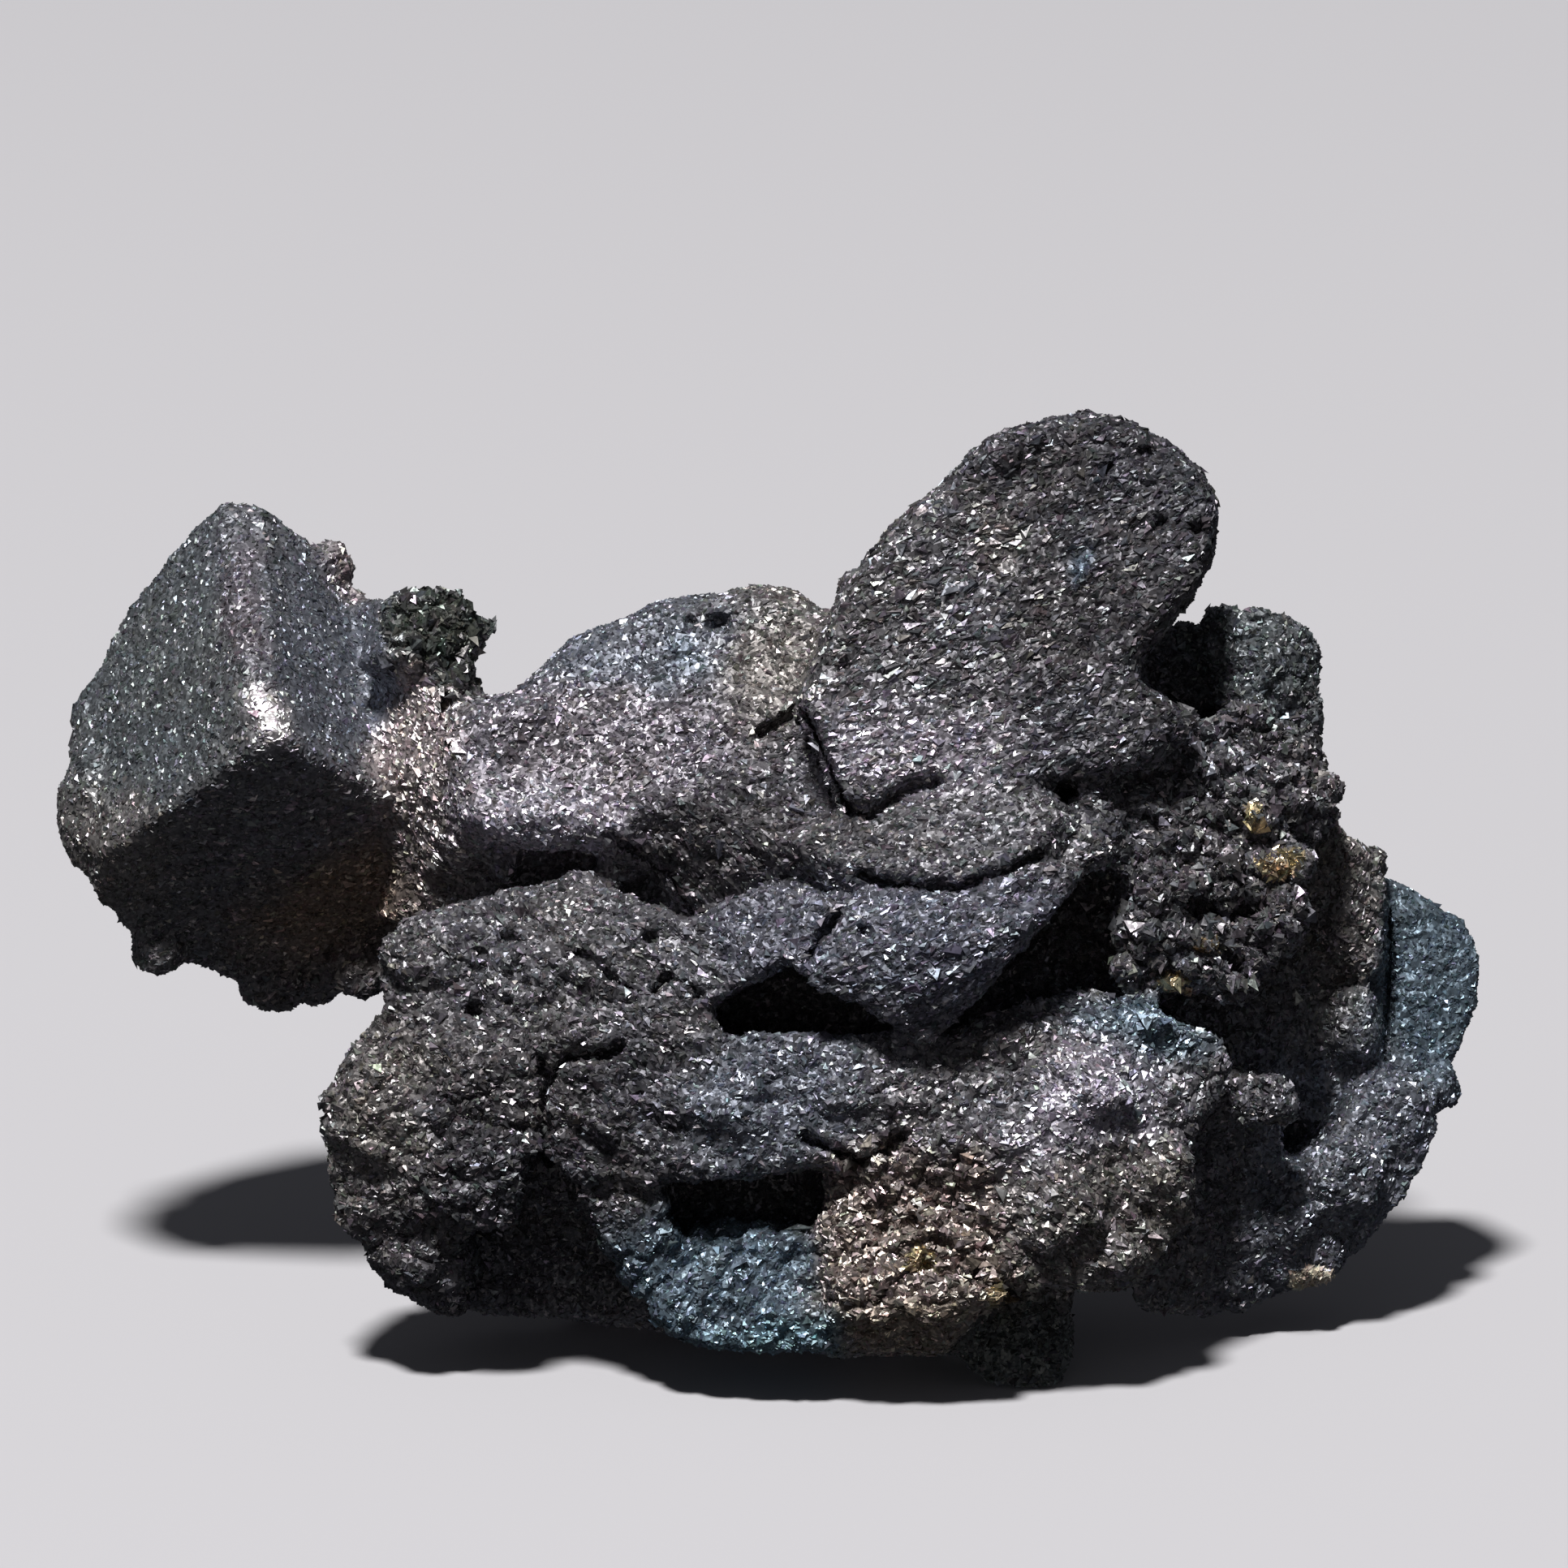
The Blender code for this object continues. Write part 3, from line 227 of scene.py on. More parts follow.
def as_seen(points):
    """Across, up and depth, in millimetres, of an array of points in millimetres."""
    x = points[:, 0] + ORIGIN[0]
    y = points[:, 1] + ORIGIN[1]
    z = points[:, 2] + ORIGIN[2]
    depth = y * math.cos(VIEW_TILT) - z * math.sin(VIEW_TILT)
    rise = y * math.sin(VIEW_TILT) + z * math.cos(VIEW_TILT)
    spread = 1.0 + depth / VIEW_DISTANCE
    across = VIEW_CENTRE[0] + (x - VIEW_CENTRE[0]) / spread
    up = VIEW_CENTRE[1] + (rise - VIEW_CENTRE[1]) / spread
    return np.stack((across, up, depth), axis=1)


def cell_random(cells, seed):
    """A number from 0 to 1 for each row of whole-number cell coordinates."""
    keys = cells.astype(np.int64).astype(np.uint64)
    mixed = np.zeros(keys.shape[:-1], dtype=np.uint64)
    for axis, factor in enumerate(CELL_FACTORS):
        mixed ^= keys[..., axis] * np.uint64(factor)
    mixed += np.uint64(seed) * np.uint64(SEED_FACTOR)
    mixed ^= mixed >> np.uint64(32)
    mixed *= np.uint64(SEED_FACTOR)
    mixed ^= mixed >> np.uint64(29)
    top_bits = mixed >> np.uint64(64 - RANDOM_BITS)
    return top_bits.astype(np.float64) / float(1 << RANDOM_BITS)


def soft_noise(points, size, seed):
    """Smooth noise from -1 to 1 whose features are about size across."""
    scaled = points / size
    base = np.floor(scaled)
    part = scaled - base
    part = part * part * (3.0 - 2.0 * part)
    total = np.zeros(len(points))
    for i in (0, 1):
        for j in (0, 1):
            for k in (0, 1):
                corner = cell_random(base + (i, j, k), seed)
                weight = np.ones(len(points))
                for axis, step in enumerate((i, j, k)):
                    weight *= part[:, axis] if step else 1.0 - part[:, axis]
                total += corner * weight
    return total * 2.0 - 1.0


def layered_noise(points, size, seed):
    """Smooth noise with finer layers on top, from about -1 to 1."""
    total = np.zeros(len(points))
    strength = 1.0
    most = 0.0
    for layer in range(NOISE_LAYERS):
        layer_size = size / LAYER_FINER ** layer
        total += strength * soft_noise(points, layer_size, seed + LAYER_SEEDS * layer)
        most += strength
        strength *= LAYER_WEAKER
    return total / most


def wrinkled(places, weights):
    """Creases in millimetres, running at each zone's own lean."""
    total = np.zeros(len(places))
    for column, zone in enumerate(ZONES.values()):
        near = weights[:, column] > LEAST_WEIGHT
        if zone.wrinkle == 0.0 or not near.any():
            continue
        lean = math.radians(zone.lean)
        offset = places[near] - np.array(zone.place)
        along = offset[:, 0] * math.cos(lean) + offset[:, 1] * math.sin(lean)
        across = offset[:, 1] * math.cos(lean) - offset[:, 0] * math.sin(lean)
        inward = offset[:, 2] * CREASE_INWARD + column
        spots = np.stack((along / CREASE_STRETCH, across, inward), axis=1)
        fold = np.abs(layered_noise(spots, CREASE_SIZE, CREASE_SEED))
        crease = CREASE_RISE - fold * CREASE_FALL
        total[near] += zone.wrinkle * weights[near, column] * crease
    return total


def cell_noise(points, size, seed):
    """Distance to the nearest and next nearest of scattered cell centres, and the cell's number."""
    scaled = points / size
    base = np.floor(scaled)
    nearest = np.full(len(points), FAR_OFF)
    second = np.full(len(points), FAR_OFF)
    number = np.zeros(len(points))
    for i in (-1, 0, 1):
        for j in (-1, 0, 1):
            for k in (-1, 0, 1):
                cell = base + (i, j, k)
                spot = cell.copy()
                for axis in range(3):
                    spot[:, axis] += cell_random(cell, seed + axis)
                far = np.sqrt(((spot - scaled) ** 2).sum(axis=1))
                closer = far < nearest
                second = np.where(closer, nearest, np.minimum(second, far))
                nearest = np.where(closer, far, nearest)
                number = np.where(closer, cell_random(cell, seed + 3), number)
    return nearest, second, number


def zone_weights(places):
    """How much each point belongs to each zone, as rows that sum to one."""
    wander = [soft_noise(places, EDGE_SIZE, EDGE_SEED + axis) for axis in range(3)]
    moved = places + np.stack(wander, axis=1) * EDGE_WANDER
    weights = np.zeros((len(places), len(ZONES)))
    for column, zone in enumerate(ZONES.values()):
        away = (moved - np.array(zone.place)) / np.array(zone.reach)
        weights[:, column] = 1.0 / (ZONE_CORE + (away ** 2).sum(axis=1)) ** ZONE_SHARPNESS
    return weights / weights.sum(axis=1, keepdims=True)


def zone_values(weights, name):
    """A zone property blended by the weights."""
    return weights @ np.array([getattr(zone, name) for zone in ZONES.values()])


def mesh_points(mesh):
    """The mesh's points in millimetres."""
    points = np.empty(len(mesh.vertices) * 3)
    mesh.vertices.foreach_get("co", points)
    return points.reshape(-1, 3) / MM


def mesh_normals(mesh):
    """The mesh's point normals."""
    normals = np.empty(len(mesh.vertices) * 3)
    mesh.vertex_normals.foreach_get("vector", normals)
    return normals.reshape(-1, 3)


def put_points(mesh, points):
    """Moves the mesh's points to places in millimetres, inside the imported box, off the floor."""
    low = np.array(CAD_BOX[0]) / MM + BOX_MARGIN
    high = np.array(CAD_BOX[1]) / MM - BOX_MARGIN
    low[2] = 0.0
    kept = np.clip(points, low, high)
    mesh.vertices.foreach_set("co", (kept * MM).ravel())
    mesh.update()


def new_piece(name, mesh):
    """A new object in the scene that holds the mesh."""
    piece = bpy.data.objects.new(name, mesh)
    bpy.context.scene.collection.objects.link(piece)
    return piece


def apply_modifiers(piece):
    """Replaces the piece's mesh with its evaluated one."""
    bpy.context.view_layer.update()
    graph = bpy.context.evaluated_depsgraph_get()
    done = bpy.data.meshes.new_from_object(piece.evaluated_get(graph), depsgraph=graph)
    piece.modifiers.clear()
    piece.data = done


def fine_body():
    """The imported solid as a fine, even mesh."""
    body = new_piece("galena_body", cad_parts["galena"].data.copy())
    body.data.materials.clear()
    finer = body.modifiers.new("finer", "REMESH")
    finer.mode = "VOXEL"
    finer.voxel_size = FINE_VOXEL * MM
    soften = body.modifiers.new("soften", "SMOOTH")
    soften.factor = SOFTEN_FACTOR
    soften.iterations = SOFTEN_STEPS
    apply_modifiers(body)
    return body


# Cracks and furrows: half width, depth, and the points they run through
CRACKS = [
    (0.16, 1.3, [(1.0, 21.3), (1.4, 20.8), (1.8, 19.8), (2.3, 18.7), (2.7, 18.1)]),
    (0.16, 0.9, [(2.7, 18.1), (3.2, 18.0), (4.0, 18.5), (4.6, 18.9), (5.4, 19.05)]),
    (0.12, 0.8, [(-0.2, 20.5), (0.3, 20.8), (0.8, 21.2)]),
    (0.10, 0.8, [(-10.0, 22.2), (-10.0, 20.6)]),
    (0.14, 0.8, [(3.0, 16.2), (4.0, 15.8), (6.0, 15.7), (7.5, 16.2), (8.6, 16.7)]),
    (0.12, 0.8, [(2.3, 14.9), (1.9, 14.3), (1.5, 13.7)]),
    (0.18, 0.9, [(-6.9, 9.3), (-6.75, 9.8), (-6.2, 10.3), (-5.0, 10.5), (-4.6, 10.6)]),
    (0.10, 0.7, [(-6.9, 10.2), (-6.9, 9.0), (-6.8, 7.2)]),
    (0.10, 0.6, [(-3.5, 12.4), (-3.0, 12.9), (-2.2, 12.6), (-2.0, 12.2)]),
    (0.10, 0.4, [(-6.0, 13.8), (-5.0, 13.0), (-3.9, 12.4)]),
    (0.16, 0.9, [(1.2, 7.9), (2.0, 7.55), (3.0, 7.15), (3.7, 7.5), (4.3, 8.0)]),
    (0.16, 1.0, [(13.6, 14.9), (15.2, 14.9)]),
    (0.12, 0.7, [(14.3, 13.8), (15.1, 12.9)]),
    (0.12, 0.8, [(19.5, 15.0), (19.6, 12.6), (19.4, 10.3)]),
    (0.10, 0.4, [(-4.9, 17.4), (-3.0, 16.2), (-2.2, 14.8)]),
]

# Pits: place as seen, radius, depth
PITS = [
    (-9.1, 11.85, 0.34, 0.7), (-8.1, 12.1, 0.20, 0.5), (-9.0, 13.1, 0.20, 0.5),
    (-8.9, 13.7, 0.16, 0.4), (-8.0, 14.15, 0.18, 0.4), (-7.8, 13.2, 0.15, 0.4),
    (-11.7, 11.5, 0.18, 0.4), (-3.6, 14.2, 0.15, 0.4), (3.1, 14.2, 0.22, 0.5),
    (10.75, 28.85, 0.20, 0.4), (12.0, 29.3, 0.14, 0.3), (2.5, 22.6, 0.18, 0.4),
    (12.4, 27.1, 0.22, 0.5), (12.9, 27.1, 0.14, 0.4), (13.5, 26.95, 0.22, 0.5),
    (-1.5, 24.0, 0.28, 0.7), (-2.3, 24.0, 0.14, 0.4), (4.6, 5.2, 0.22, 0.6),
    (3.8, 5.0, 0.20, 0.5), (5.7, 4.6, 0.20, 0.6), (3.2, 4.5, 0.14, 0.4),
    (6.6, 3.6, 0.16, 0.5), (5.0, 3.9, 0.12, 0.4),
]

# How far out a cut begins, in half widths or radii, and the size, seed and reach of the
# noises that bend it
CRACK_EDGE = 1.5
PIT_EDGE = 1.4
CUT_BENDS = ((0.5, 11, 0.10), (0.2, 12, 0.05))

# What counts as the front: the size of the spots that are compared, how far a point may lie
# behind the foremost one of its spot, and how its normal may stand to the camera's way
FRONT_SPOT = 0.3
FRONT_DEPTH = 0.9
FRONT_TURN = -0.15


def stroke_distance(places, line):
    """Distance, as seen, from each place to a line of points."""
    nearest = np.full(len(places), FAR_OFF)
    for start, end in zip(line, line[1:]):
        start = np.array(start)
        way = np.array(end) - start
        along = ((places[:, :2] - start) @ way) / (way @ way)
        along = np.clip(along, 0.0, 1.0)
        spot = start + along[:, None] * way
        nearest = np.minimum(nearest, np.hypot(*(places[:, :2] - spot).T))
    return nearest


def front_mask(places, normals):
    """True where a point is among the foremost seen at its spot, and faces the viewer."""
    cells = np.floor(places[:, :2] / FRONT_SPOT).astype(int)
    cells -= cells.min(axis=0)
    flat = cells[:, 0] * (cells[:, 1].max() + 1) + cells[:, 1]
    foremost = np.full(flat.max() + 1, FAR_OFF)
    np.minimum.at(foremost, flat, places[:, 2])
    facing = normals @ np.array(VIEW_WAY) < FRONT_TURN
    return (places[:, 2] < foremost[flat] + FRONT_DEPTH) & facing


def carve(body):
    """Cuts the cracks and pits that are seen on the front."""
    points = mesh_points(body.data)
    normals = mesh_normals(body.data)
    places = as_seen(points)
    front = front_mask(places, normals)
    wander = sum(soft_noise(places, size, seed) * reach for size, seed, reach in CUT_BENDS)
    sink = np.zeros(len(points))
    for width, depth, line in CRACKS:
        away = stroke_distance(places, line) + wander
        shape = np.clip(CRACK_EDGE - away / width, 0.0, 1.0)
        sink = np.maximum(sink, depth * shape)
    for across, up, radius, depth in PITS:
        away = np.hypot(places[:, 0] - across, places[:, 1] - up) + wander
        shape = np.clip(PIT_EDGE - away / radius, 0.0, 1.0)
        sink = np.maximum(sink, depth * shape)
    inward = np.array(VIEW_WAY)
    points += (sink * front)[:, None] * inward
    put_points(body.data, points)


# Lumps: the size, seed, contrast and seam width of the large and the small blocks, and the
# middle of a block's number and the height of its crown
LARGE_BLOCKS = (0.95, 21, 0.9, 0.16)
SMALL_BLOCKS = (0.42, 31, 0.8, 0.2)
BLOCK_MIDDLE = 0.5
BLOCK_CROWN = 0.45

# How far the blocks rise and the small seams sink for a zone's lump, the least that the small
# ones move and their share of the lump, and the long waves under all
LARGE_RISE = 1.1
SMALL_RISE = 0.8
SMALL_SINK = 0.5
SMALL_LEAST = 0.05
SMALL_SHARE = 0.55
WAVE_SIZE = 2.4
WAVE_RISE = 0.10
WAVE_SEED = 41


def uneven_blocks(points, size, seed, contrast, seam_width):
    """Heights of crowded blocks, and the seams between them from 0 to 1."""
    nearest, second, number = cell_noise(points, size, seed)
    heights = (number - BLOCK_MIDDLE) * contrast + (BLOCK_CROWN - nearest) * contrast
    seams = np.clip(1.0 - (second - nearest) / seam_width, 0.0, 1.0)
    return heights, seams


def roughen(body):
    """Gives the surface its lumps, creases and fine unevenness, zone by zone."""
    points = mesh_points(body.data)
    normals = mesh_normals(body.data)
    places = as_seen(points)
    weights = zone_weights(places)
    lump = zone_values(weights, "lump")
    blocks, seams = uneven_blocks(points, *LARGE_BLOCKS)
    small_blocks, small_seams = uneven_blocks(points, *SMALL_BLOCKS)
    waves = layered_noise(points, WAVE_SIZE, WAVE_SEED)
    move = lump * (LARGE_RISE * blocks - seams)
    small_lump = SMALL_LEAST + SMALL_SHARE * lump
    move += small_lump * (SMALL_RISE * small_blocks - SMALL_SINK * small_seams)
    move += WAVE_RISE * waves + wrinkled(places, weights)
    points += normals * move[:, None]
    put_points(body.data, points)


def thin_out(body, triangles):
    """Reduces the body to a number of triangles."""
    body.data.calc_loop_triangles()
    thin = body.modifiers.new("thin", "DECIMATE")
    thin.ratio = triangles / len(body.data.loop_triangles)
    thin.use_collapse_triangulate = True
    apply_modifiers(body)


# Tarnish: the size and seed of its long drifts and its patches, where blue and brown start,
# how hard the noises pull at them, and how far they and the patches' shade show
DRIFT = (2.2, 61)
PATCH = (0.9, 66)
BLUE_START = 0.3
WARM_START = 0.2
DRIFT_PULL = 1.2
PATCH_PULL = 0.6
BLUE_SHOWS = 0.25
WARM_SHOWS = 0.22
PATCH_SHOWS = 0.25


def tarnish(places, weights):
    """The metal's colour at each place: its zone's colour, with drifting tarnish over it."""
    colours = zone_values(weights, "colour")
    drift = layered_noise(places, *DRIFT)
    patch = layered_noise(places, *PATCH)
    blue = np.clip(BLUE_START + DRIFT_PULL * drift, 0.0, 1.0)[:, None]
    warm = np.clip(WARM_START - DRIFT_PULL * drift + PATCH_PULL * patch, 0.0, 1.0)[:, None]
    colours = colours * (1.0 - BLUE_SHOWS * blue) + BLUE_SHOWS * blue * np.array(STEEL_BLUE)
    colours = colours * (1.0 - WARM_SHOWS * warm) + WARM_SHOWS * warm * np.array(BROWN_GREY)
    return colours * (1.0 + PATCH_SHOWS * patch[:, None])


def colour_points(mesh, colours):
    """Stores a colour at each point of the mesh."""
    layer = mesh.color_attributes.new("tarnish", "FLOAT_COLOR", "POINT")
    full = np.ones((len(colours), 4))
    full[:, :3] = np.clip(colours, 0.0, 1.0)
    layer.data.foreach_set("color", full.ravel())


# The crust of crystal corners, four triangles each: how many, and how large and deep they sit
CRUST_SETS = 4
CRUST_GRAINS = 47500
CRUST_SEED = 700
GRAIN_SCALE = 0.74
GRAIN_SINK = 0.06

# How much the crystals differ in size, length of edge, lean, shade and tint
GRAIN_SPREAD = 0.30
LEG_SPREAD = 0.2
LEAN_SPREAD = 0.35
SHADE_SPREAD = 0.30
TINT_SPREAD = 0.06

# The crystals that mirror the light: how true they stand, how much of a zone's glint counts,
# and how squarely such a face must face outward
GLINT_SPREAD = 0.13
GLINT_SHARE = 0.55
GLINT_FACING = 0.3

# Where the front view doesn't reach, fewer crystals grow: how many there, and where it ends
HIDDEN_SHARE = 0.55
SHOWN_TURN = 0.1
SHOWN_DEPTH = 9.0

# How much the smooth normal counts beside the triangle's own
SMOOTH_SHARE = 2.0


def unit(ways):
    """The directions at length one."""
    return ways / np.linalg.norm(ways, axis=1, keepdims=True)


def square_to(ways, others):
    """The part of ways at right angles to others, at length one."""
    return unit(ways - others * (ways * others).sum(axis=1, keepdims=True))


def corner_legs(rng, outward, glinting):
    """Three edges of a cube that run back from a corner which points outward.

    Where glinting is true, one face of the corner mirrors the light to the front.
    """
    count = len(outward)
    point = unit(outward + rng.normal(size=outward.shape) * LEAN_SPREAD)
    side = square_to(rng.normal(size=outward.shape), point)
    other = np.cross(point, side)
    legs = np.empty((count, 3, 3))
    for i in range(3):
        angle = math.tau * i / 3.0
        flat = side * math.cos(angle) + other * math.sin(angle)
        legs[:, i] = flat * math.sqrt(2.0 / 3.0) - point * math.sqrt(1.0 / 3.0)
    half_way = -np.array(LIGHT_WAY + VIEW_WAY)
    mirror = unit(half_way / np.linalg.norm(half_way)
                  + rng.normal(size=outward.shape) * GLINT_SPREAD)
    rise = square_to(outward + rng.normal(size=outward.shape) * LEAN_SPREAD, mirror)
    cross = np.cross(mirror, rise)
    turned = np.stack((-(rise + cross) / math.sqrt(2.0), -(rise - cross) / math.sqrt(2.0),
                       -mirror), axis=1)
    shows = glinting & ((mirror * outward).sum(axis=1) > GLINT_FACING)
    return np.where(shows[:, None, None], turned, legs)


def corner_verts(rng, centres, outward, legs, size, stretch, lean):
    """Points of the crystal corners: the tip of each and its three edge ends."""
    lengths = size[:, None, None] * np.exp(rng.normal(size=(len(size), 3, 1)) * LEG_SPREAD)
    ends = legs * lengths
    local = np.concatenate((np.zeros((len(size), 1, 3)), ends), axis=1)
    local -= local.mean(axis=1, keepdims=True)
    up_axis = np.array((0.0, math.sin(VIEW_TILT), math.cos(VIEW_TILT)))
    along = np.cos(lean)[:, None] * np.array((1.0, 0.0, 0.0)) + np.sin(lean)[:, None] * up_axis
    along = square_to(along, outward)[:, None, :]
    reach = (local * along).sum(axis=2, keepdims=True)
    local += along * reach * (np.sqrt(stretch) - 1.0)[:, None, None]
    return (centres - outward * (size * GRAIN_SINK)[:, None])[:, None, :] + local


def surface_of(mesh):
    """The mesh's triangles: their corner points, twice their areas, and the way they face."""
    mesh.calc_loop_triangles()
    triangles = np.empty(len(mesh.loop_triangles) * 3, dtype=np.int64)
    mesh.loop_triangles.foreach_get("vertices", triangles)
    triangles = triangles.reshape(-1, 3)
    corners = mesh_points(mesh)[triangles]
    crossed = np.cross(corners[:, 1] - corners[:, 0], corners[:, 2] - corners[:, 0])
    area = np.linalg.norm(crossed, axis=1)
    smooth = mesh_normals(mesh)[triangles].mean(axis=1)
    facing = unit(smooth * SMOOTH_SHARE + crossed / area[:, None])
    return corners, area, facing


def grow_grains(name, surface, chance, count, rng, scale, tinted):
    """One mesh of crystal corners grown on the surface where chance says."""
    corners, _, facing = surface
    picked = rng.choice(len(corners), size=count, p=chance / chance.sum())
    mix = rng.dirichlet((1.0, 1.0, 1.0), size=count)
    centres = (corners[picked] * mix[:, :, None]).sum(axis=1)
    outward = facing[picked]
    places = as_seen(centres)
    weights = zone_weights(places)
    glinting = rng.random(count) < GLINT_SHARE * zone_values(weights, "glint")
    legs = corner_legs(rng, outward, glinting)
    size = scale * zone_values(weights, "grain") * np.exp(rng.normal(size=count) * GRAIN_SPREAD)
    verts = corner_verts(rng, centres, outward, legs, size, zone_values(weights, "stretch"),
                         np.radians(zone_values(weights, "lean")))
    faces = np.array([(0, 1, 2), (0, 2, 3), (0, 3, 1), (1, 3, 2)])
    turn = np.einsum("ni,ni->n", np.cross(legs[:, 0], legs[:, 1]), legs[:, 2]) > 0.0
    faces = np.where(turn[:, None, None], faces[None, :, ::-1], faces[None])
    faces = (faces + 4 * np.arange(count)[:, None, None]).reshape(-1, 3)
    mesh = bpy.data.meshes.new(name)
    mesh.from_pydata(verts.reshape(-1, 3) * MM, [], faces)
    put_points(mesh, verts.reshape(-1, 3))
    colours = tinted(places, weights)
    colours = colours * np.exp(rng.normal(size=count) * SHADE_SPREAD)[:, None]
    colours = colours * (1.0 + rng.normal(size=(count, 3)) * TINT_SPREAD)
    colour_points(mesh, np.repeat(colours, 4, axis=0))
    return new_piece(name, mesh)


# Other minerals: small patches of grains, as across, up, half width and half height
BRASS = (0.46, 0.38, 0.25)
CREAM = (0.55, 0.49, 0.40)
BRASS_SPOTS = [
    (16.1, 16.45, 0.7, 0.4), (15.3, 17.9, 0.2, 0.4), (12.85, 12.7, 0.4, 0.3),
    (13.8, 13.9, 0.3, 0.15), (7.4, 2.85, 0.45, 0.3), (4.9, 4.0, 0.4, 0.4),
]
CREAM_SPOTS = [(17.15, 3.45, 0.7, 0.3)]
PATCH_GRAINS = 700
PATCH_SCALE = 0.9

# Each mineral's colour, spots, seed and how metallic it is
MINERALS = {
    "brassy_grains": (BRASS, BRASS_SPOTS, 6, 0.9),
    "cream_grains": (CREAM, CREAM_SPOTS, 1, 0.0),
}

# Materials: how metallic the tarnished galena is, and for each surface the size of its
# facets in millimetres, how far they tilt, and its roughness
METALNESS = 0.62
BODY_FINISH = (0.11, 0.50, 0.46)
CRYSTAL_FINISH = (0.12, 0.22, 0.38)
MINERAL_FINISH = (0.12, 0.22, 0.35)

# The least and most that a facet's shade scales the colour, the size of the noise that varies
# the roughness, the stretch of it that counts, and how far down and up it takes the roughness
FACET_SHADES = (0.45, 1.7)
GLOSS_SIZE = 0.5
GLOSS_STRETCH = (0.3, 0.7)
SMOOTHER = 0.10
ROUGHER = 0.12


def patch_chance(surface, spots):
    """How likely a grain is on each triangle: only at the spots, on the front."""
    corners, area, facing = surface
    places = as_seen(corners.mean(axis=1))
    front = front_mask(places, facing)
    chance = np.zeros(len(area))
    for across, up, wide, high in spots:
        away = np.hypot((places[:, 0] - across) / wide, (places[:, 1] - up) / high)
        chance += np.where(front & (away < 1.0), area, 0.0)
    return chance


def metal_material(name, metalness, cell_size, tilt, rough):
    """Tarnished metal in the stored colours, with fine glittering facets."""
    material = bpy.data.materials.new(name)
    material.use_nodes = True
    nodes = material.node_tree.nodes
    links = material.node_tree.links
    shader = nodes["Principled BSDF"]
    shader.inputs["Metallic"].default_value = metalness
    place = nodes.new("ShaderNodeTexCoord")
    colour = nodes.new("ShaderNodeAttribute")
    colour.attribute_name = "tarnish"
    speckle = nodes.new("ShaderNodeTexVoronoi")
    speckle.inputs["Scale"].default_value = 1.0 / (cell_size * MM)
    links.new(place.outputs["Object"], speckle.inputs["Vector"])
    shade = nodes.new("ShaderNodeMapRange")
    shade.inputs["To Min"].default_value = FACET_SHADES[0]
    shade.inputs["To Max"].default_value = FACET_SHADES[1]
    links.new(speckle.outputs["Color"], shade.inputs["Value"])
    tinted = nodes.new("ShaderNodeVectorMath")
    tinted.operation = "SCALE"
    links.new(colour.outputs["Color"], tinted.inputs[0])
    links.new(shade.outputs["Result"], tinted.inputs["Scale"])
    links.new(tinted.outputs["Vector"], shader.inputs["Base Color"])
    gloss = nodes.new("ShaderNodeTexNoise")
    gloss.inputs["Scale"].default_value = 1.0 / (GLOSS_SIZE * MM)
    links.new(place.outputs["Object"], gloss.inputs["Vector"])
    polish = nodes.new("ShaderNodeMapRange")
    polish.inputs["From Min"].default_value = GLOSS_STRETCH[0]
    polish.inputs["From Max"].default_value = GLOSS_STRETCH[1]
    polish.inputs["To Min"].default_value = rough - SMOOTHER
    polish.inputs["To Max"].default_value = rough + ROUGHER
    links.new(gloss.outputs["Fac"], polish.inputs["Value"])
    links.new(polish.outputs["Result"], shader.inputs["Roughness"])
    centred = nodes.new("ShaderNodeVectorMath")
    centred.operation = "SUBTRACT"
    centred.inputs[1].default_value = (0.5, 0.5, 0.5)
    links.new(speckle.outputs["Color"], centred.inputs[0])
    leaning = nodes.new("ShaderNodeVectorMath")
    leaning.operation = "SCALE"
    leaning.inputs["Scale"].default_value = tilt
    links.new(centred.outputs["Vector"], leaning.inputs[0])
    surface = nodes.new("ShaderNodeNewGeometry")
    summed = nodes.new("ShaderNodeVectorMath")
    summed.operation = "ADD"
    links.new(surface.outputs["Normal"], summed.inputs[0])
    links.new(leaning.outputs["Vector"], summed.inputs[1])
    facet = nodes.new("ShaderNodeVectorMath")
    facet.operation = "NORMALIZE"
    links.new(summed.outputs["Vector"], facet.inputs[0])
    links.new(facet.outputs["Vector"], shader.inputs["Normal"])
    return material


def finish_body():
    """The body: fine mesh, carved, roughened, thinned and coloured."""
    body = fine_body()
    carve(body)
    roughen(body)
    thin_out(body, BODY_TRIANGLES)
    places = as_seen(mesh_points(body.data))
    colour_points(body.data, tarnish(places, zone_weights(places)))
    body.data.materials.append(metal_material("galena_surface", METALNESS, *BODY_FINISH))
    return body


def add_to_galena(piece, material):
    """Makes the piece ride with the specimen and belong to its material slot."""
    piece.data.materials.append(material)
    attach(piece, "root")


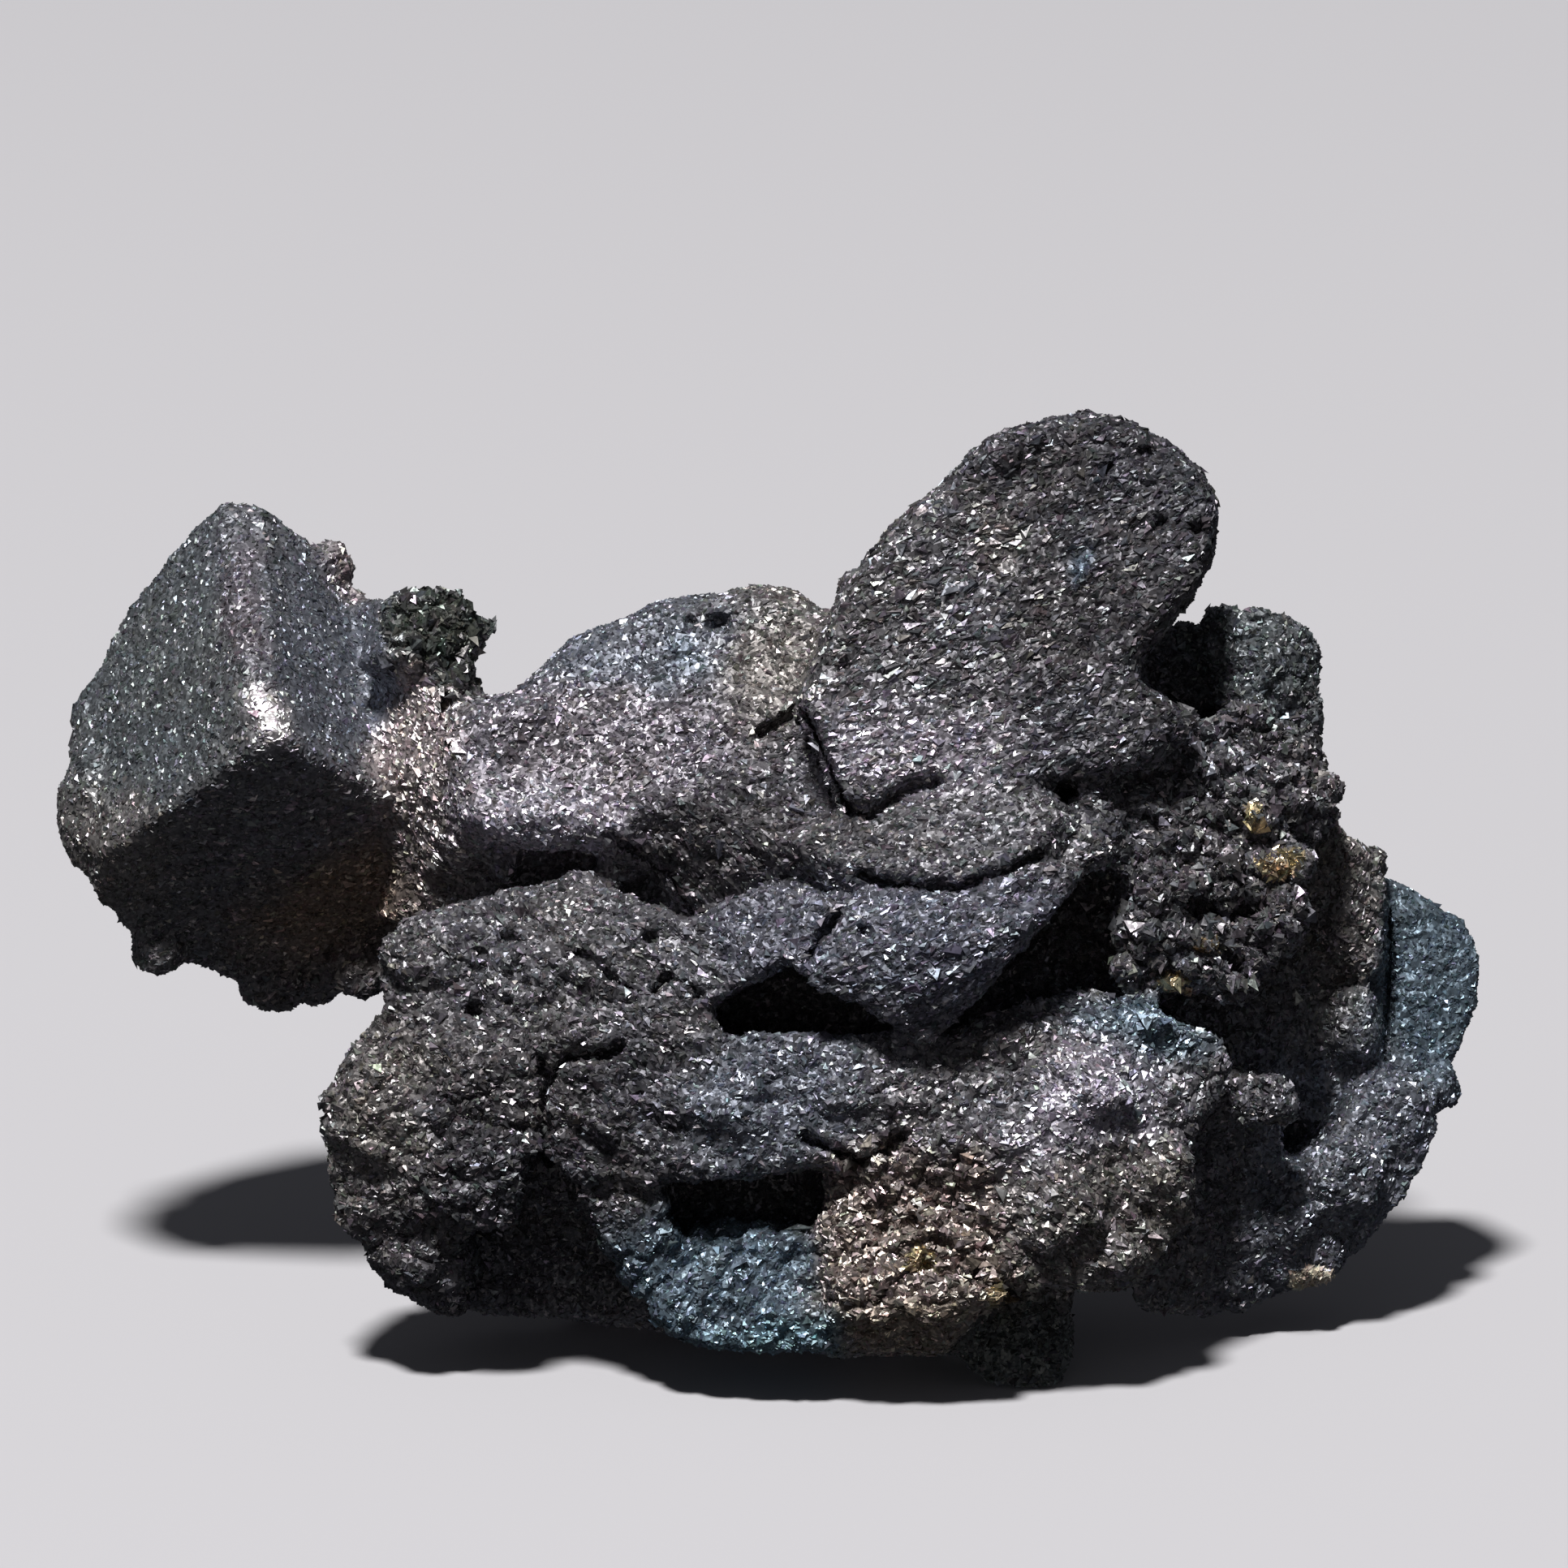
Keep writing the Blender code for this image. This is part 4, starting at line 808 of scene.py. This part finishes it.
def make_galena():
    """The whole specimen: body, crust and the few grains of other minerals."""
    body = finish_body()
    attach(body, "root")
    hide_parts("galena")
    surface = surface_of(body.data)
    corners, area, facing = surface
    depth = as_seen(corners.mean(axis=1))[:, 2]
    shown = (facing @ np.array(VIEW_WAY) < SHOWN_TURN) & (depth < SHOWN_DEPTH)
    chance = area * np.where(shown, 1.0, HIDDEN_SHARE)
    crystals = metal_material("galena_crystals", METALNESS, *CRYSTAL_FINISH)
    for number in range(CRUST_SETS):
        rng = np.random.default_rng(CRUST_SEED + number)
        crust = grow_grains(f"galena_crust_{number}", surface, chance, CRUST_GRAINS, rng,
                            GRAIN_SCALE, tarnish)
        add_to_galena(crust, crystals)
    for name, (colour, spots, seed, metalness) in MINERALS.items():
        rng = np.random.default_rng(seed)
        grains = grow_grains(name, surface, patch_chance(surface, spots), PATCH_GRAINS, rng,
                             PATCH_SCALE, lambda places, _: np.tile(colour, (len(places), 1)))
        add_to_galena(grains, metal_material(name, metalness, *MINERAL_FINISH))


# The studio, in metres: a round floor that curves up into a wall
FLOOR_RADIUS = 0.75
WALL_CURVE = 0.30
WALL_HEIGHT = 0.9
STAGE_SIDES = 96
CURVE_STEPS = 12
FLOOR_COLOUR = (0.60, 0.595, 0.63, 1.0)
FLOOR_ROUGHNESS = 0.9
FLOOR_GLOSS = 0.2
MERGE_DISTANCE = 1e-5

# The lights, aimed at the specimen's middle: a small bright key, a weak fill and a dim room
MIDDLE = Vector((0.0, 0.0, 0.015))
KEY_DISTANCE = 2.0
KEY_WIDTH = 0.28
KEY_WATTS = 48.0
KEY_COLOUR = (1.0, 0.985, 0.96)
FILL_PLACE = (-0.05, -0.50, 0.03)
FILL_WIDTH = 0.30
FILL_WATTS = 0.07
FILL_COLOUR = (1.0, 0.90, 0.82)
ROOM_COLOUR = (0.80, 0.82, 0.90, 1.0)
ROOM_STRENGTH = 0.06

# How near and how far the camera sees
CLIP_NEAR = 0.01
CLIP_FAR = 10.0


def stage_material():
    """Plain pale matt paint."""
    material = bpy.data.materials.new("pale_floor")
    material.use_nodes = True
    shader = material.node_tree.nodes["Principled BSDF"]
    shader.inputs["Base Color"].default_value = FLOOR_COLOUR
    shader.inputs["Roughness"].default_value = FLOOR_ROUGHNESS
    shader.inputs["Specular IOR Level"].default_value = FLOOR_GLOSS
    return material


def make_stage():
    """A pale round floor that curves up into a wall all round."""
    profile = [(0.0, 0.0), (FLOOR_RADIUS, 0.0)]
    for step in range(1, CURVE_STEPS + 1):
        angle = math.pi / 2.0 * step / CURVE_STEPS
        profile.append((FLOOR_RADIUS + WALL_CURVE * math.sin(angle),
                        WALL_CURVE * (1.0 - math.cos(angle))))
    profile.append((FLOOR_RADIUS + WALL_CURVE, WALL_HEIGHT))
    shape = bmesh.new()
    line = [shape.verts.new((radius, 0.0, height)) for radius, height in profile]
    edges = [shape.edges.new(pair) for pair in zip(line, line[1:])]
    bmesh.ops.spin(shape, geom=line + edges, axis=(0.0, 0.0, 1.0), cent=(0.0, 0.0, 0.0),
                   steps=STAGE_SIDES, angle=math.tau, use_merge=True)
    bmesh.ops.remove_doubles(shape, verts=shape.verts, dist=MERGE_DISTANCE)
    bmesh.ops.recalc_face_normals(shape, faces=shape.faces)
    mesh = bpy.data.meshes.new("floor")
    shape.to_mesh(mesh)
    shape.free()
    mesh.shade_smooth()
    mesh.materials.append(stage_material())
    floor = new_piece("floor", mesh)
    floor.visible_glossy = False
    floor.visible_diffuse = False


def add_area(name, place, aim, width, watts, colour):
    """A soft round light at place, turned towards aim."""
    lamp = bpy.data.lights.new(name, "AREA")
    lamp.shape = "DISK"
    lamp.size = width
    lamp.energy = watts
    lamp.color = colour
    light = bpy.data.objects.new(name, lamp)
    light.location = place
    light.rotation_euler = (Vector(aim) - Vector(place)).to_track_quat("-Z", "Y").to_euler()
    bpy.context.scene.collection.objects.link(light)


def make_lights():
    """One small bright key from above, a weak fill and a dim room."""
    key_place = MIDDLE - LIGHT_WAY * KEY_DISTANCE
    add_area("key", key_place, MIDDLE, KEY_WIDTH, KEY_WATTS, KEY_COLOUR)
    add_area("fill", FILL_PLACE, MIDDLE, FILL_WIDTH, FILL_WATTS, FILL_COLOUR)
    world = bpy.data.worlds.new("room")
    world.use_nodes = True
    back = world.node_tree.nodes["Background"]
    back.inputs["Color"].default_value = ROOM_COLOUR
    back.inputs["Strength"].default_value = ROOM_STRENGTH
    bpy.context.scene.world = world


def make_camera():
    """The camera at the photograph's viewing angle."""
    lens = bpy.data.cameras.new("camera")
    lens.sensor_width = SENSOR
    lens.lens = SENSOR * VIEW_DISTANCE / VIEW_WIDTH
    lens.clip_start = CLIP_NEAR
    lens.clip_end = CLIP_FAR
    camera = bpy.data.objects.new("camera", lens)
    camera.location = seen(VIEW_CENTRE[0], VIEW_CENTRE[1], -VIEW_DISTANCE)
    target = seen(VIEW_CENTRE[0], VIEW_CENTRE[1], 0.0)
    camera.rotation_euler = (target - camera.location).to_track_quat("-Z", "Y").to_euler()
    bpy.context.scene.collection.objects.link(camera)
    bpy.context.scene.camera = camera
    bpy.context.scene.view_settings.view_transform = "Standard"


make_camera()
make_lights()
make_stage()
make_galena()
